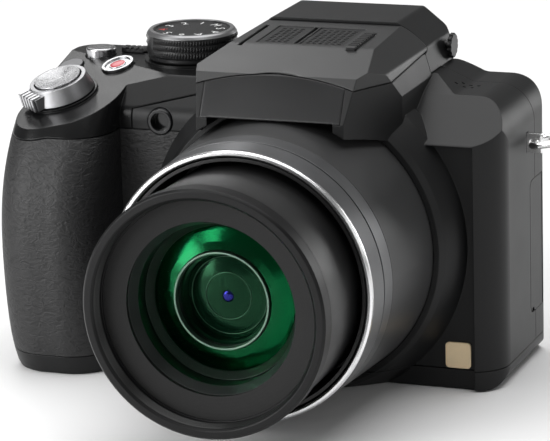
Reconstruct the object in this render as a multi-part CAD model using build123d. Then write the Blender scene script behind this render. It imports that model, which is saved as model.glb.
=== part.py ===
"""Bridge camera with a telescoping zoom lens, in millimetres.

+Z is up, the lens looks along -Y and the hand grip is at -X. The origin is the mouth of the tripod
socket, in the plane that the camera stands on, below the lens axis. The lens is at its wide setting.
"""
import math
import os

from build123d import *

# Overall sizes of the body
LEFT_X = -73.4
RIGHT_X = 46.8
REAR_Y = 22.0
SLAB_FRONT_Y = -19.0
VALLEY_Y = -14.0
SHOULDER_Z = 66.4
PLATE_Z = 68.2
ROOF_Z = 80.8
LENS_Z = 34.0
BASE_SEAM_Z = 4.6
COVER_SEAM_Y = 11.0

# Walls, gaps and one overrun for every cut
WALL = 2.2
SEAM = 0.18
GAP = 0.3
SEAT = 0.1
SHAFT_GAP = 0.05
OVERRUN = 5.0

# Hand grip: level, front Y and left X of each section of its bulge
GRIP_FOOT_Z = 1.2
GRIP_SECTIONS = (
    (GRIP_FOOT_Z, -31.4, -72.4),
    (15.0, -34.4, -73.2),
    (32.0, -35.2, LEFT_X),
    (47.0, -32.6, -73.2),
    (57.0, -27.4, -72.6),
    (71.0, -16.5, -71.0),
)
GRIP_RIGHT_X = -47.5
GRIP_FRONT_LEFT_R = 10.5
GRIP_FRONT_RIGHT_R = 9.5
GRIP_REAR_R = 5.5
GRIP_INNER_R = 3.8
BASE_CHAMFER = 1.2

# Slanted top of the grip: a point of it and how far it leans forward and to the left
SLANT_X = -63.2
SLANT_Y = -10.8
SLANT_Z = 62.6
SLANT_FORWARD_DEG = 15.8
SLANT_LEFT_DEG = 9.0

# Left part of the body between grip and lens
VALLEY_LEFT_X = -52.0
VALLEY_RIGHT_X = -2.0
VALLEY_BEND_Z = 60.5
VALLEY_BEND_R = 5.0
PLATE_FRONT_Y = -6.5
PLATE_EDGE_R = 1.5
REAR_EDGE_R = 2.5
FOOT_EDGE_R = 1.5

# Right part of the body
SLAB_LEFT_X = -8.0
SHOULDER_R = 8.5
SHOULDER_HIGH_Z = 69.6
SHOULDER_HIGH_X = 25.0
SHOULDER_LOW_X = 32.0
SHOULDER_BLEND_R = 4.0
SLAB_CORNER_R = 9.0
SLAB_REAR_R = 5.0
SLAB_FOOT_R = 4.0
BROW_LINE_Z = 57.8
SHOULDER_FRONT_Y = -3.5
SHOULDER_FRONT_R = 3.0
RECESS_DEPTH = 2.2
RECESS_RIGHT_X = 40.6

# Fixed barrel and the shroud that it grows out of
SHROUD_MOUTH_Y = -24.6
BARREL_REAR_R = 33.0
SHROUD_LIP_R = 35.6
SHROUD_LIP_Y = -23.0
SHROUD_FOOT_R = 38.8
SHROUD_FOOT_Y = -17.0
SHROUD_REAR_Y = -10.0
BARREL_NECK_Y = -20.0
BARREL_NECK_R = 31.7
BARREL_NOSE_Y = -49.7
BARREL_NOSE_R = 31.75
BARREL_BORE_R = 30.6
BARREL_BASE_Y = -8.0
BARREL_BASE_T = 2.0
GUIDE_ROD_R = 1.0
GUIDE_ROD_REACH = 22.5
GUIDE_ROD_FRONT_Y = -42.0
SENSOR_HOLE_W = 18.0
SENSOR_HOLE_H = 15.0

# Nose of the fixed barrel: grey band with a groove, then the bright trim ring
TRIM_FRONT_Y = -62.4
TRIM_REAR_Y = -61.0
TRIM_R = 31.2
TRIM_BEVEL = 0.4
NOSE_LIP_R = 29.8
NOSE_GROOVE_Y = -54.5
NOSE_GROOVE_T = 0.6
NOSE_LIP_T = 2.4

# First telescoping barrel
STAGE_R = 29.4
STAGE_BORE_R = 28.6
STAGE_FRONT_Y = -61.4
STAGE_LENGTH = 36.0
STAGE_FLANGE_R = 30.3
STAGE_FLANGE_T = 4.0

# Second telescoping barrel with the bezel, the filter thread and the face ring
BEZEL_FRONT_Y = -84.0
BEZEL_R = 28.0
BEZEL_T = 4.6
BEZEL_BEVEL = 0.5
THREAD_R = 25.6
THREAD_T = 4.0
FRONT_R = 27.2
FRONT_BORE_R = 26.2
FRONT_REAR_Y = -36.0
FRONT_FLANGE_R = 28.3
FRONT_FLANGE_T = 3.0
FACE_R = 24.9
FACE_HOLE_R = 19.6
FACE_T = 1.2
FACE_DISH = 0.8
CELL_STEP_R = 18.2
CELL_STEP_T = 2.4
CELL_GLASS_T = 5.6
CELL_NECK_R = 11.8
CELL_NECK_T = 1.6
GLASS_SAG = 2.6
GLASS_T = 4.6
GLASS_FIT = 0.05
INNER_R = 10.6
INNER_SAG = 1.2
INNER_T = 3.6
INNER_RIM_T = 0.8
INNER_BACK = 7.4

# Iris and shutter unit that rides on the guide rods
IRIS_FRONT_Y = -32.0
IRIS_T = 7.0
IRIS_R = 24.6
IRIS_HOLE_R = 7.0

# Hump over the lens that holds flash and viewfinder
HUMP_FRONT_Y = -40.0
HUMP_HALF_FRONT = 17.6
HUMP_WIDE_Y = -19.0
HUMP_HALF = 24.4
HUMP_HALF_SEAM = 22.6
HUMP_HALF_TOP = 15.6
HUMP_HALF_TAIL = 21.0
HUMP_TAIL_Y = 20.0
HUMP_SEAM_DOWN = 5.6
HUMP_SEAM_Z = ROOF_Z - HUMP_SEAM_DOWN
HUMP_SIDE_Z = 69.0
HUMP_FOOT_Z = 58.0
HUMP_REAR_Y = 25.4
BROW_FOOT_Z = 66.8
BROW_TOP_Y = -35.0
BROW_TOP_DOWN = 4.6
BROW_TOP_Z = ROOF_Z - BROW_TOP_DOWN
BROW_TUCK_X = 15.0
LID_BREAK_Y = -17.5
LID_BREAK_DOWN = 1.5
LID_BREAK_Z = ROOF_Z - LID_BREAK_DOWN
LID_BREAK_R = 8.0
LID_TOP_DOWN = 0.7
LID_TOP_Z = ROOF_Z - LID_TOP_DOWN
STEP_Y = 5.2
HUMP_EDGE_R = 1.6
CHEEK_GAP = 1.3
BROW_PANEL_T = 0.8

# Flash lid: arched seam that rises to the rear, hinge across its tail
SEAM_START_Y = -46.0
SEAM_CROWN_DOWN = 5.0
SEAM_CROWN_Z = ROOF_Z - SEAM_CROWN_DOWN
SEAM_HALF = 24.0
SEAM_DROP = 4.2
SEAM_RISE = 0.05
LID_AXIS_Y = 3.2
LID_AXIS_DOWN = 3.4
LID_AXIS_Z = ROOF_Z - LID_AXIS_DOWN
LID_TAIL_R = 3.2
LID_CORE_HALF = 14.0
LID_CORE_Y = -31.0
LID_CORE_DOWN = 5.9
LID_CORE_Z = ROOF_Z - LID_CORE_DOWN
PIN_R = 0.5
PIN_HALF = 12.6
EAR_R = 1.1
EAR_ROOM_R = 1.9
EAR_X = 9.4
EAR_W = 3.0
KNUCKLE_R = 1.5
KNUCKLE_X = 6.0
WELL_FLOOR_Z = 69.0
WELL_T = 1.2
WELL_REAR_Y = 7.2
WELL_TOP_DOWN = 4.8
WELL_TOP_Z = ROOF_Z - WELL_TOP_DOWN
FLASH_HALF = 13.0
FLASH_FRONT_Y = -29.0
FLASH_REAR_Y = -21.0
FLASH_FOOT_Z = 69.6
FLASH_TOP_DOWN = 6.8
FLASH_TOP_Z = ROOF_Z - FLASH_TOP_DOWN
FLASH_WINDOW_T = 1.2
FLASH_ARM_W = 3.0
FLASH_SWING = 1.3

# Microphone grilles, slots and release tab on the lid
GRILLE_FRONT_Y = -16.0
GRILLE_REAR_Y = 0.0
GRILLE_LEFT_X = -11.6
GRILLE_MID_X = -2.2
GRILLE_RIGHT_X = 9.4
GRILLE_SLOT_W = 1.0
GRILLE_T = 0.7
GRILLE_DEPTH = 0.9
GRILLE_PITCH = 1.5
GRILLE_HOLE = 0.9
GRILLE_RIM = 0.7
LEFT_SLOT_X = -14.6
LEFT_SLOT_W = 1.0
TAB_X = 12.3
TAB_W = 2.2
TAB_FRONT_Y = -19.0
TAB_L = 14.0
TAB_H = 0.7
TAB_TRAVEL = 2.0
TAB_DEPTH = 1.0
TAB_ROOM = 0.25
TAB_RIBS = 9
TAB_RIB_W = 0.5

# Viewfinder
EVF_HALF = 9.0
EVF_FOOT_Z = 63.6
EVF_TOP_DOWN = 4.4
EVF_TOP_Z = ROOF_Z - EVF_TOP_DOWN
EVF_FRONT_Y = 9.0
EVF_REAR_Y = 23.0
EVF_WALL = 1.2
EYE_HALF = 7.4
EYE_FOOT_Z = 65.2
EYE_TOP_DOWN = 6.0
EYE_TOP_Z = ROOF_Z - EYE_TOP_DOWN
EYEPIECE_T = 1.4
CUP_HALF = 15.5
CUP_FOOT_Z = 62.8
CUP_TOP_DOWN = 3.4
CUP_TOP_Z = ROOF_Z - CUP_TOP_DOWN
CUP_T = 2.1
CUP_EDGE_R = 3.0
CUP_HOLE_R = 2.0
DIOPTER_Y = 18.6
DIOPTER_DOWN = 7.8
DIOPTER_Z = ROOF_Z - DIOPTER_DOWN
DIOPTER_R = 3.0
DIOPTER_T = 1.0
DIOPTER_SHAFT_R = 1.2

# Controls on the slanted top, placed from its centre to the right and to the rear
LEVER_R = 8.0
LEVER_TOP_R = 6.9
LEVER_BORE_R = 5.9
LEVER_FOOT = 0.9
LEVER_H = 3.8
LEVER_TAB_R = 9.1
LEVER_TAB_W = 7.6
LEVER_TAB_H = 3.0
LEVER_TAB_DEG = -128.0
LEVER_SKIRT_R = 5.2
COLLAR_R = 8.6
COLLAR_H = 0.6
SHUTTER_R = 5.6
SHUTTER_DISH = 0.7
SHUTTER_TOP = 5.2
SHUTTER_T = 2.4
SHUTTER_STEM_R = 2.4
SHUTTER_TRAVEL = 1.2
BUTTON_FLANGE = 0.4
BUTTON_FLANGE_T = 0.6
BUTTON_GAP = 0.2
RECORD_X = -54.2
RECORD_Y = 2.0
RECORD_R = 3.9
RECORD_H = 0.7
RECORD_DOT_R = 2.1
DRIVE_X = -62.4
DRIVE_Y = 10.9
DRIVE_R = 3.6
DRIVE_H = 1.9
DRIVE_DOME = 0.5
FOCUS_X = -67.6
FOCUS_Y = 4.6
FOCUS_R = 3.0
FOCUS_H = 0.6

# Mode dial and power switch on the level part of the top
DIAL_X = -38.4
DIAL_Y = 10.8
DIAL_R = 10.9
DIAL_FOOT = 0.8
DIAL_H = 6.9
DIAL_SHAFT_R = 3.0
DIAL_FLUTES = 40
DIAL_FLUTE_R = 0.45
DIAL_BEVEL = 0.7
DIAL_DISH_R = 8.9
DIAL_DISH = 0.3
SWITCH_X = -55.4
SWITCH_Y = 15.4
SWITCH_L = 5.6
SWITCH_W = 3.0
SWITCH_H = 1.3
SWITCH_TRAVEL = 2.4
SWITCH_KEEL_W = 1.6
TOP_RIGHT_X = -24.6
TOP_COVER_T = 3.6
SKIRT_RIGHT_X = -44.5

# Rear controls
PAD_X = -49.5
PAD_Z = 24.5
PAD_R = 9.4
PAD_OUT = 0.7
PAD_T = 1.6
MENU_R = 4.1
MENU_OUT = 0.9
REAR_BUTTON_R = 2.9
REAR_BUTTON_OUT = 0.5
PLAY_X = -39.5
PLAY_Z = 45.0
DISPLAY_X = -62.5
DISPLAY_Z = 9.8
QUICK_X = -36.5
QUICK_Z = 9.8
LOCK_X = -43.0
LOCK_Z = 59.6
EVF_BUTTON_X = -31.5
EVF_BUTTON_Z = 60.0
THUMB_X = -57.0
THUMB_Y = 17.2
THUMB_Z = 57.4
THUMB_R = 6.6
THUMB_T = 4.0
THUMB_AXLE_R = 1.2
THUMB_AXLE_OUT = 1.0
THUMB_FLUTES = 24

# Screen
SCREEN_LEFT_X = -25.5
SCREEN_RIGHT_X = 41.0
SCREEN_FOOT_Z = 6.6
SCREEN_TOP_Z = 57.0
SCREEN_R = 1.5
SCREEN_WINDOW_T = 1.4
SCREEN_SUNK = 0.3
PANEL_RIM = 1.2
PANEL_T = 3.4

# Autofocus lamp, badge and speaker
LAMP_X = -37.2
LAMP_Z = 58.5
LAMP_R = 3.1
LAMP_BORE_R = 2.2
LAMP_OUT = 0.5
LAMP_T = 4.0
LAMP_DEPTH = 2.4
BADGE_CLEAR = 5.874
BADGE_TURN_DEG = 35.43
BADGE_X = (SHROUD_FOOT_R + BADGE_CLEAR) * math.cos(math.radians(BADGE_TURN_DEG))
BADGE_Z = LENS_Z - (SHROUD_FOOT_R + BADGE_CLEAR) * math.sin(math.radians(BADGE_TURN_DEG))
BADGE_SIZE = 6.1
BADGE_R = 0.9
BADGE_T = 0.6
SPEAKER_X = 32.4
SPEAKER_Y = 5.4
SPEAKER_R = 5.0
SPEAKER_T = 2.4
SPEAKER_HOLE_R = 0.45
SPEAKER_PITCH_X = 1.9
SPEAKER_PITCH_Y = 2.2

# Rubber skin on the grip
SKIN = 1.2
SKIN_TOP_Z = 56.3
SKIN_DROP = 1.7
SKIN_RIGHT_X = -22.0

# Battery in the grip, its holder and its door
CELL_LEFT_X = -68.7
CELL_W = 16.0
CELL_FRONT_Y = -20.5
CELL_D = 36.5
CELL_FOOT_Z = 2.6
CELL_H = 47.0
HOLDER_T = 1.2
HOLDER_GAP = 0.2
DOOR_SIDE = 0.9
DOOR_T = 2.0
DOOR_AXIS_IN = 0.0
DOOR_PIN_R = 0.6
DOOR_PIN_L = 1.2
LATCH_X = -65.5
LATCH_L = 6.0
LATCH_W = 7.0
LATCH_T = 0.9
LATCH_TRAVEL = 2.2

# Sockets behind their door on the right side
PORT_FRONT_Y = 7.0
PORT_AXIS_Y = 16.4
PORT_FOOT_Z = 12.0
PORT_TOP_Z = 44.0
PORT_DOOR_T = 1.4
PORT_PIN_R = 0.5
PORT_PIN_L = 1.2
PORT_CORNER_R = 2.0
PORT_BLOCK_D = 6.0
PORT_SOCKET_W = 3.2
PORT_SOCKET_HEIGHTS = (9.0, 7.6)
PORT_SOCKET_LEVELS = (20.0, 34.5)
PORT_SOCKET_D = 4.5

# Strap lugs and rings
LUG_Y = 5.0
LUG_Z = 54.0
LUG_T = 1.6
LUG_H = 4.6
LUG_HOLE_OUT = 1.9
LUG_HOLE_R = 1.25
LUG_OUT = 3.6
LUG_IN = 4.0
RING_WIRE_R = 0.75
RING_REACH = 8.0
RING_W = 9.0
RING_R = 2.2
RING_TILT_DEG = 10.0
RING_HANG_DEG = 90.0

# Chassis, boards, motor and tripod bush
CHASSIS_FRONT_Y = -4.6
CHASSIS_T = 1.2
CHASSIS_LEFT_X = -45.0
CHASSIS_RIGHT_X = 38.0
CHASSIS_FOOT_Z = 2.4
CHASSIS_TOP_Z = 56.0
CHASSIS_TONGUE_HALF = 12.0
CHASSIS_TONGUE_Y = 9.0
CHASSIS_WINDOW_HALF = 15.0
CHASSIS_WINDOW_HEIGHT = 26.0
POST_R = 1.6
POST_INSET = 4.0
BOARD_Y = 3.0
BOARD_T = 1.6
BUSH_R = 4.2
BUSH_FLANGE_R = 5.6
BUSH_FLANGE_T = 1.0
BUSH_H = 6.4
TRIPOD_R = 2.6
TRIPOD_DEPTH = 5.2
SENSOR_W = 24.0
SENSOR_H = 20.0
SENSOR_T = 1.2
SENSOR_CHIP_W = 10.0
SENSOR_CHIP_H = 8.0
SENSOR_CHIP_T = 1.6
MOTOR_X = 35.0
MOTOR_Z = 11.0
MOTOR_R = 5.0
MOTOR_FRONT_Y = -14.4
MOTOR_L = 9.6
GEARBOX_X = 25.2
GEARBOX_H = 7.6
GEARBOX_T = 5.0
SCREW_R = 1.5
SCREW_T = 1.2
SCREW_SLOT_W = 0.5
SCREW_PLACES = ((40.0, 14.5), (-20.0, 15.0), (24.0, 15.5), (-43.0, -8.0))


def outline(corners):
    """Closed face through (a, b, corner radius) points."""
    points = [(a, b) for a, b, r in corners]
    radii = [r for a, b, r in corners]
    return make_face(FilletPolyline(*points, radius=radii, close=True))


def along_x(face, x0, x1):
    """A face drawn with Y to the right and Z up, pushed from x0 to x1."""
    return extrude(Plane.YZ.offset(x0) * face, amount=x1 - x0, dir=(1, 0, 0))


def along_y(face, y0, y1):
    """A face drawn with X to the right and Z up, pushed from y0 to y1."""
    return extrude(Plane.XZ.offset(-y0) * face, amount=y1 - y0, dir=(0, 1, 0))


def along_z(face, z0, z1):
    """A face drawn with X to the right and Y up the page, pushed from z0 to z1."""
    return extrude(Plane.XY.offset(z0) * face, amount=z1 - z0, dir=(0, 0, 1))


def block(x0, x1, y0, y1, z0, z1):
    """Plain box between two corners."""
    return Pos((x0 + x1) / 2, (y0 + y1) / 2, (z0 + z1) / 2) * Box(x1 - x0, y1 - y0, z1 - z0)


def turned(points, x=0, z=LENS_Z):
    """Solid of revolution about a line along Y; points are (radius, y)."""
    face = make_face(Polyline(*points, close=True))
    return Pos(x, 0, z) * revolve(face, Axis.Y)


def rod_y(radius, y0, y1, x=0, z=LENS_Z):
    """Round bar along Y."""
    return Pos(x, (y0 + y1) / 2, z) * Rot(X=90) * Cylinder(radius, y1 - y0)


def rod_x(radius, x0, x1, y, z):
    """Round bar along X."""
    return Pos((x0 + x1) / 2, y, z) * Rot(Y=90) * Cylinder(radius, x1 - x0)


def rod_z(radius, z0, z1, x, y):
    """Round bar along Z."""
    return Pos(x, y, (z0 + z1) / 2) * Cylinder(radius, z1 - z0)


def ring_y(outer, inner, y0, y1, x=0, z=LENS_Z):
    """Flat ring about a line along Y."""
    return rod_y(outer, y0, y1, x, z) - rod_y(inner, y0 - OVERRUN, y1 + OVERRUN, x, z)


def cap_height(radius, sag, at):
    """Depth below its pole of a round cap with that sag at the radius."""
    sphere = (radius * radius + sag * sag) / (2 * sag)
    return sphere - math.sqrt(sphere * sphere - at * at)


def slant(inset=0):
    """Plane of the slanted top, lowered by the inset."""
    tilt = Rot(X=SLANT_FORWARD_DEG) * Rot(Y=-SLANT_LEFT_DEG)
    return Plane(Pos(SLANT_X, SLANT_Y, SLANT_Z) * tilt).offset(-inset)


def above_slant(inset=0):
    """Everything above the slanted top near the grip."""
    reach = abs(LEFT_X)
    return slant(inset) * Pos(0, 0, reach / 2) * Box(2 * reach, 2 * reach, reach)


def above(level):
    """Everything above a level."""
    return block(2 * LEFT_X, 2 * RIGHT_X, LEFT_X, RIGHT_X, level, level + ROOF_Z)


def below(level):
    """Everything below a level."""
    return block(2 * LEFT_X, 2 * RIGHT_X, LEFT_X, RIGHT_X, level - ROOF_Z, level)


def on_slant(x, y):
    """Place on the slanted top above a point of the plan, with Z along its normal."""
    face = slant()
    normal = face.z_dir
    z = face.origin.Z - (normal.X * (x - SLANT_X) + normal.Y * (y - SLANT_Y)) / normal.Z
    return Location(Plane(origin=(x, y, z), x_dir=face.x_dir, z_dir=normal))


def grip_form(inset=0):
    """Bulged hand grip through the full depth of the body."""
    def section(z, front, left, cut):
        corners = (
            (left + cut, front + cut, GRIP_FRONT_LEFT_R - cut),
            (GRIP_RIGHT_X - cut, front + cut, GRIP_FRONT_RIGHT_R - cut),
            (GRIP_RIGHT_X - cut, REAR_Y - cut, GRIP_INNER_R - cut),
            (left + cut, REAR_Y - cut, GRIP_REAR_R - cut),
        )
        return Plane.XY.offset(z) * outline(corners)
    bulge = loft([section(z, front, left, inset) for z, front, left in GRIP_SECTIONS])
    z, front, left = GRIP_SECTIONS[0]
    foot = loft([section(0, front, left, inset + BASE_CHAMFER / 2), section(z, front, left, inset)], ruled=True)
    form = bulge + foot
    if inset:
        form = form - below(inset)
    return form - above_slant(inset) - above(PLATE_Z - inset)


def valley_form(inset=0):
    """Left part of the body between the grip and the lens."""
    side = outline((
        (VALLEY_Y + inset, inset, FOOT_EDGE_R),
        (VALLEY_Y + inset, VALLEY_BEND_Z, VALLEY_BEND_R),
        (PLATE_FRONT_Y + inset, PLATE_Z - inset, PLATE_EDGE_R),
        (REAR_Y - inset, PLATE_Z - inset, REAR_EDGE_R),
        (REAR_Y - inset, inset, FOOT_EDGE_R),
    ))
    return along_x(side, VALLEY_LEFT_X, VALLEY_RIGHT_X) - above_slant(inset)


def slab_form(inset=0):
    """Right part of the body with the rounded shoulder and the sunk panel beside the lens."""
    plan = outline((
        (SLAB_LEFT_X, SLAB_FRONT_Y + inset, 0),
        (RIGHT_X - inset, SLAB_FRONT_Y + inset, SLAB_CORNER_R - inset),
        (RIGHT_X - inset, REAR_Y - inset, SLAB_REAR_R - inset),
        (SLAB_LEFT_X, REAR_Y - inset, 0),
    ))
    front = outline((
        (SLAB_LEFT_X, inset, 0),
        (RIGHT_X - inset, inset, SLAB_FOOT_R - inset),
        (RIGHT_X - inset, SHOULDER_Z - inset, SHOULDER_R - inset),
        (SHOULDER_LOW_X, SHOULDER_Z - inset, SHOULDER_BLEND_R),
        (SHOULDER_HIGH_X, SHOULDER_HIGH_Z - inset, SHOULDER_BLEND_R - inset),
        (SLAB_LEFT_X, SHOULDER_HIGH_Z - inset, 0),
    ))
    side = outline((
        (SLAB_FRONT_Y + inset, inset, FOOT_EDGE_R),
        (SLAB_FRONT_Y + inset, BROW_LINE_Z, FOOT_EDGE_R),
        (SHOULDER_FRONT_Y + inset, SHOULDER_Z - inset, SHOULDER_FRONT_R),
        (SHOULDER_FRONT_Y + inset + SHOULDER_R, SHOULDER_HIGH_Z - inset, SHOULDER_FRONT_R),
        (REAR_Y - inset, SHOULDER_HIGH_Z - inset, REAR_EDGE_R),
        (REAR_Y - inset, inset, FOOT_EDGE_R),
    ))
    form = along_z(plan, 0, SHOULDER_HIGH_Z) & along_y(front, SLAB_FRONT_Y, REAR_Y)
    form = form & along_x(side, SLAB_LEFT_X, RIGHT_X)
    recess = block(SLAB_LEFT_X - OVERRUN, RECESS_RIGHT_X + inset, SLAB_FRONT_Y - OVERRUN,
                   SLAB_FRONT_Y + RECESS_DEPTH + inset, -OVERRUN, BROW_LINE_Z + inset)
    return form - recess


def shroud_form(inset=0):
    """Flared shroud round the fixed barrel, cut flat where the camera stands."""
    points = (
        (0, SHROUD_MOUTH_Y + inset),
        (SHROUD_LIP_R - WALL / 2 - inset, SHROUD_MOUTH_Y + inset),
        (SHROUD_LIP_R - inset, SHROUD_LIP_Y + inset),
        (SHROUD_FOOT_R - inset, SHROUD_FOOT_Y + inset),
        (SHROUD_FOOT_R - inset, SHROUD_REAR_Y + inset),
        (0, SHROUD_REAR_Y + inset),
    )
    return turned(points) - below(inset) - above(HUMP_SIDE_Z - inset)


def hump_form(inset=0):
    """Hump with its leaning brow, the cheeks beside it and the viewfinder at the rear."""
    side = outline((
        (HUMP_FRONT_Y + inset, BROW_FOOT_Z + inset, 0),
        (BROW_TOP_Y + inset, BROW_TOP_Z - inset, 0),
        (LID_BREAK_Y, LID_BREAK_Z - inset, LID_BREAK_R),
        (STEP_Y, LID_TOP_Z - inset, 0),
        (STEP_Y, ROOF_Z - inset, 0),
        (HUMP_REAR_Y - inset, ROOF_Z - inset, HUMP_EDGE_R),
        (HUMP_REAR_Y - inset, CUP_FOOT_Z - WALL + inset, HUMP_EDGE_R),
        (REAR_Y - inset, HUMP_FOOT_Z, 0),
        (HUMP_WIDE_Y + inset, HUMP_FOOT_Z, 0),
        (HUMP_WIDE_Y + inset, BROW_FOOT_Z + inset, 0),
    ))
    front = outline((
        (-HUMP_HALF - OVERRUN, HUMP_FOOT_Z, 0),
        (HUMP_HALF + OVERRUN, HUMP_FOOT_Z, 0),
        (HUMP_HALF - inset, HUMP_SIDE_Z, HUMP_EDGE_R),
        (HUMP_HALF_SEAM - inset, HUMP_SEAM_Z, HUMP_EDGE_R),
        (HUMP_HALF_TOP - inset, ROOF_Z - inset, HUMP_EDGE_R),
        (-HUMP_HALF_TOP + inset, ROOF_Z - inset, HUMP_EDGE_R),
        (-HUMP_HALF_SEAM + inset, HUMP_SEAM_Z, HUMP_EDGE_R),
        (-HUMP_HALF + inset, HUMP_SIDE_Z, HUMP_EDGE_R),
    ))
    plan = outline((
        (-HUMP_HALF_FRONT + inset, HUMP_FRONT_Y - OVERRUN, 0),
        (HUMP_HALF_FRONT - inset, HUMP_FRONT_Y - OVERRUN, 0),
        (HUMP_HALF_FRONT - inset, HUMP_FRONT_Y, 0),
        (HUMP_HALF - inset, HUMP_WIDE_Y, HUMP_EDGE_R),
        (HUMP_HALF - inset, HUMP_TAIL_Y, HUMP_EDGE_R),
        (HUMP_HALF_TAIL - inset, HUMP_REAR_Y - inset, HUMP_EDGE_R),
        (-HUMP_HALF_TAIL + inset, HUMP_REAR_Y - inset, HUMP_EDGE_R),
        (-HUMP_HALF + inset, HUMP_TAIL_Y, HUMP_EDGE_R),
        (-HUMP_HALF + inset, HUMP_WIDE_Y, HUMP_EDGE_R),
        (-HUMP_HALF_FRONT + inset, HUMP_FRONT_Y, 0),
    ))
    cheek_side = outline((
        (HUMP_FRONT_Y + inset, BROW_FOOT_Z + inset, 0),
        (HUMP_FRONT_Y + inset, HUMP_FOOT_Z + inset, 0),
        (HUMP_WIDE_Y + inset, HUMP_FOOT_Z + inset, 0),
        (HUMP_WIDE_Y + inset, BROW_FOOT_Z + inset, 0),
    ))
    width = along_z(plan, HUMP_FOOT_Z, ROOF_Z) & along_y(front, HUMP_FRONT_Y, HUMP_REAR_Y)
    form = width & along_x(side, -HUMP_HALF, HUMP_HALF)
    cheeks = width & along_x(cheek_side, -HUMP_HALF, HUMP_HALF)
    bore = BARREL_REAR_R + CHEEK_GAP + inset
    cheeks = cheeks - rod_y(bore, HUMP_FRONT_Y - OVERRUN, HUMP_WIDE_Y + OVERRUN)
    cheeks = cheeks - block(-BROW_TUCK_X - inset, BROW_TUCK_X + inset, HUMP_FRONT_Y - OVERRUN,
                            HUMP_WIDE_Y + OVERRUN, 0, BROW_FOOT_Z + inset)
    return form + cheeks


def body_form(inset=0):
    """Whole outside of the body, or the same drawn in by a wall."""
    return grip_form(inset) + valley_form(inset) + slab_form(inset) + shroud_form(inset) + hump_form(inset)


def lid_zone(gap=0):
    """Space above the arched seam and ahead of the hinge tail, grown by a gap."""
    left = (-SEAM_HALF, SEAM_CROWN_Z - SEAM_DROP - gap)
    crown = (0, SEAM_CROWN_Z - gap)
    right = (SEAM_HALF, SEAM_CROWN_Z - SEAM_DROP - gap)
    top = ROOF_Z + OVERRUN
    edges = [ThreePointArc(left, crown, right), Line(right, (SEAM_HALF + OVERRUN, right[1])),
             Line((SEAM_HALF + OVERRUN, right[1]), (SEAM_HALF + OVERRUN, top)),
             Line((SEAM_HALF + OVERRUN, top), (-SEAM_HALF - OVERRUN, top)),
             Line((-SEAM_HALF - OVERRUN, top), (-SEAM_HALF - OVERRUN, left[1])),
             Line((-SEAM_HALF - OVERRUN, left[1]), left)]
    face = Plane.XZ.offset(-SEAM_START_Y) * make_face(edges)
    length = LID_AXIS_Y + LID_TAIL_R + OVERRUN - SEAM_START_Y
    arch = extrude(face, amount=length, dir=(0, 1, SEAM_RISE))
    ahead = block(-2 * SEAM_HALF, 2 * SEAM_HALF, SEAM_START_Y - OVERRUN, LID_AXIS_Y + gap, 0, 2 * ROOF_Z)
    tail = rod_x(LID_TAIL_R + gap, -2 * SEAM_HALF, 2 * SEAM_HALF, LID_AXIS_Y, LID_AXIS_Z)
    core = block(-LID_CORE_HALF - gap, LID_CORE_HALF + gap, LID_CORE_Y - gap, length, LID_CORE_Z, 2 * ROOF_Z)
    return (arch + core) & (ahead + tail)


def top_zone(gap=0):
    """Space of the left top cover, grown by a gap."""
    deep = TOP_COVER_T + gap
    zone = (above_slant(deep) + above(PLATE_Z - deep)) & block(
        2 * LEFT_X, TOP_RIGHT_X + gap, LEFT_X, RIGHT_X, 0, 2 * ROOF_Z)
    skirt = block(2 * LEFT_X, SKIRT_RIGHT_X + gap, LEFT_X, COVER_SEAM_Y + gap, SKIN_TOP_Z + SEAM - gap,
                  2 * ROOF_Z)
    return zone + skirt


def rear_zone(gap=0):
    """Space of the rear cover, grown by a gap."""
    plain = block(2 * LEFT_X, 2 * RIGHT_X, COVER_SEAM_Y - gap, 2 * RIGHT_X, 0, 2 * ROOF_Z)
    crown = block(-HUMP_HALF - OVERRUN, HUMP_HALF + OVERRUN, LID_AXIS_Y - gap, 2 * RIGHT_X,
                  SHOULDER_HIGH_Z - gap, 2 * ROOF_Z)
    return plain + crown


def skin_zone(inset):
    """Grip and valley outside that carries the rubber, drawn in by the inset."""
    return grip_form(inset) + valley_form(inset)


def grip_rubber():
    skin = skin_zone(0) - skin_zone(SKIN)
    skin = skin & block(2 * LEFT_X, SKIN_RIGHT_X, LEFT_X, COVER_SEAM_Y - SEAM, BASE_SEAM_Z + SEAM, SKIN_TOP_Z)
    skin = skin - above_slant(SKIN_DROP + SEAM)
    skin = skin - rod_y(SHROUD_FOOT_R + SEAM, LEFT_X, REAR_Y)
    skin = skin - rod_y(LAMP_R + SEAM, VALLEY_Y - OVERRUN, VALLEY_Y + OVERRUN, LAMP_X, LAMP_Z) - lug_hole(-1)
    return keep_large(skin)


def keep_large(part):
    """The largest solid of a part, without the crumbs that a cut leaves."""
    return max(part.solids(), key=lambda solid: solid.volume)


def brow_panel():
    band = outline((
        (HUMP_FRONT_Y - OVERRUN, BROW_FOOT_Z - SEAM, 0),
        (HUMP_FRONT_Y + BROW_PANEL_T, BROW_FOOT_Z - SEAM, 0),
        (BROW_TOP_Y + BROW_PANEL_T, BROW_TOP_Z, 0),
        (HUMP_FRONT_Y - OVERRUN, BROW_TOP_Z, 0),
    ))
    width = HUMP_HALF_FRONT - BROW_PANEL_T
    return along_x(band, -width, width)


def button_hole(radius, place, depth):
    """Hole for a round button with room for its flange below the wall."""
    hole = Pos(0, 0, -depth) * Cylinder(radius + BUTTON_GAP, 2 * depth + 2 * OVERRUN)
    room = Pos(0, 0, -depth - OVERRUN / 2) * Cylinder(radius + BUTTON_FLANGE + BUTTON_GAP, OVERRUN)
    return place * (hole + room)


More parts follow.
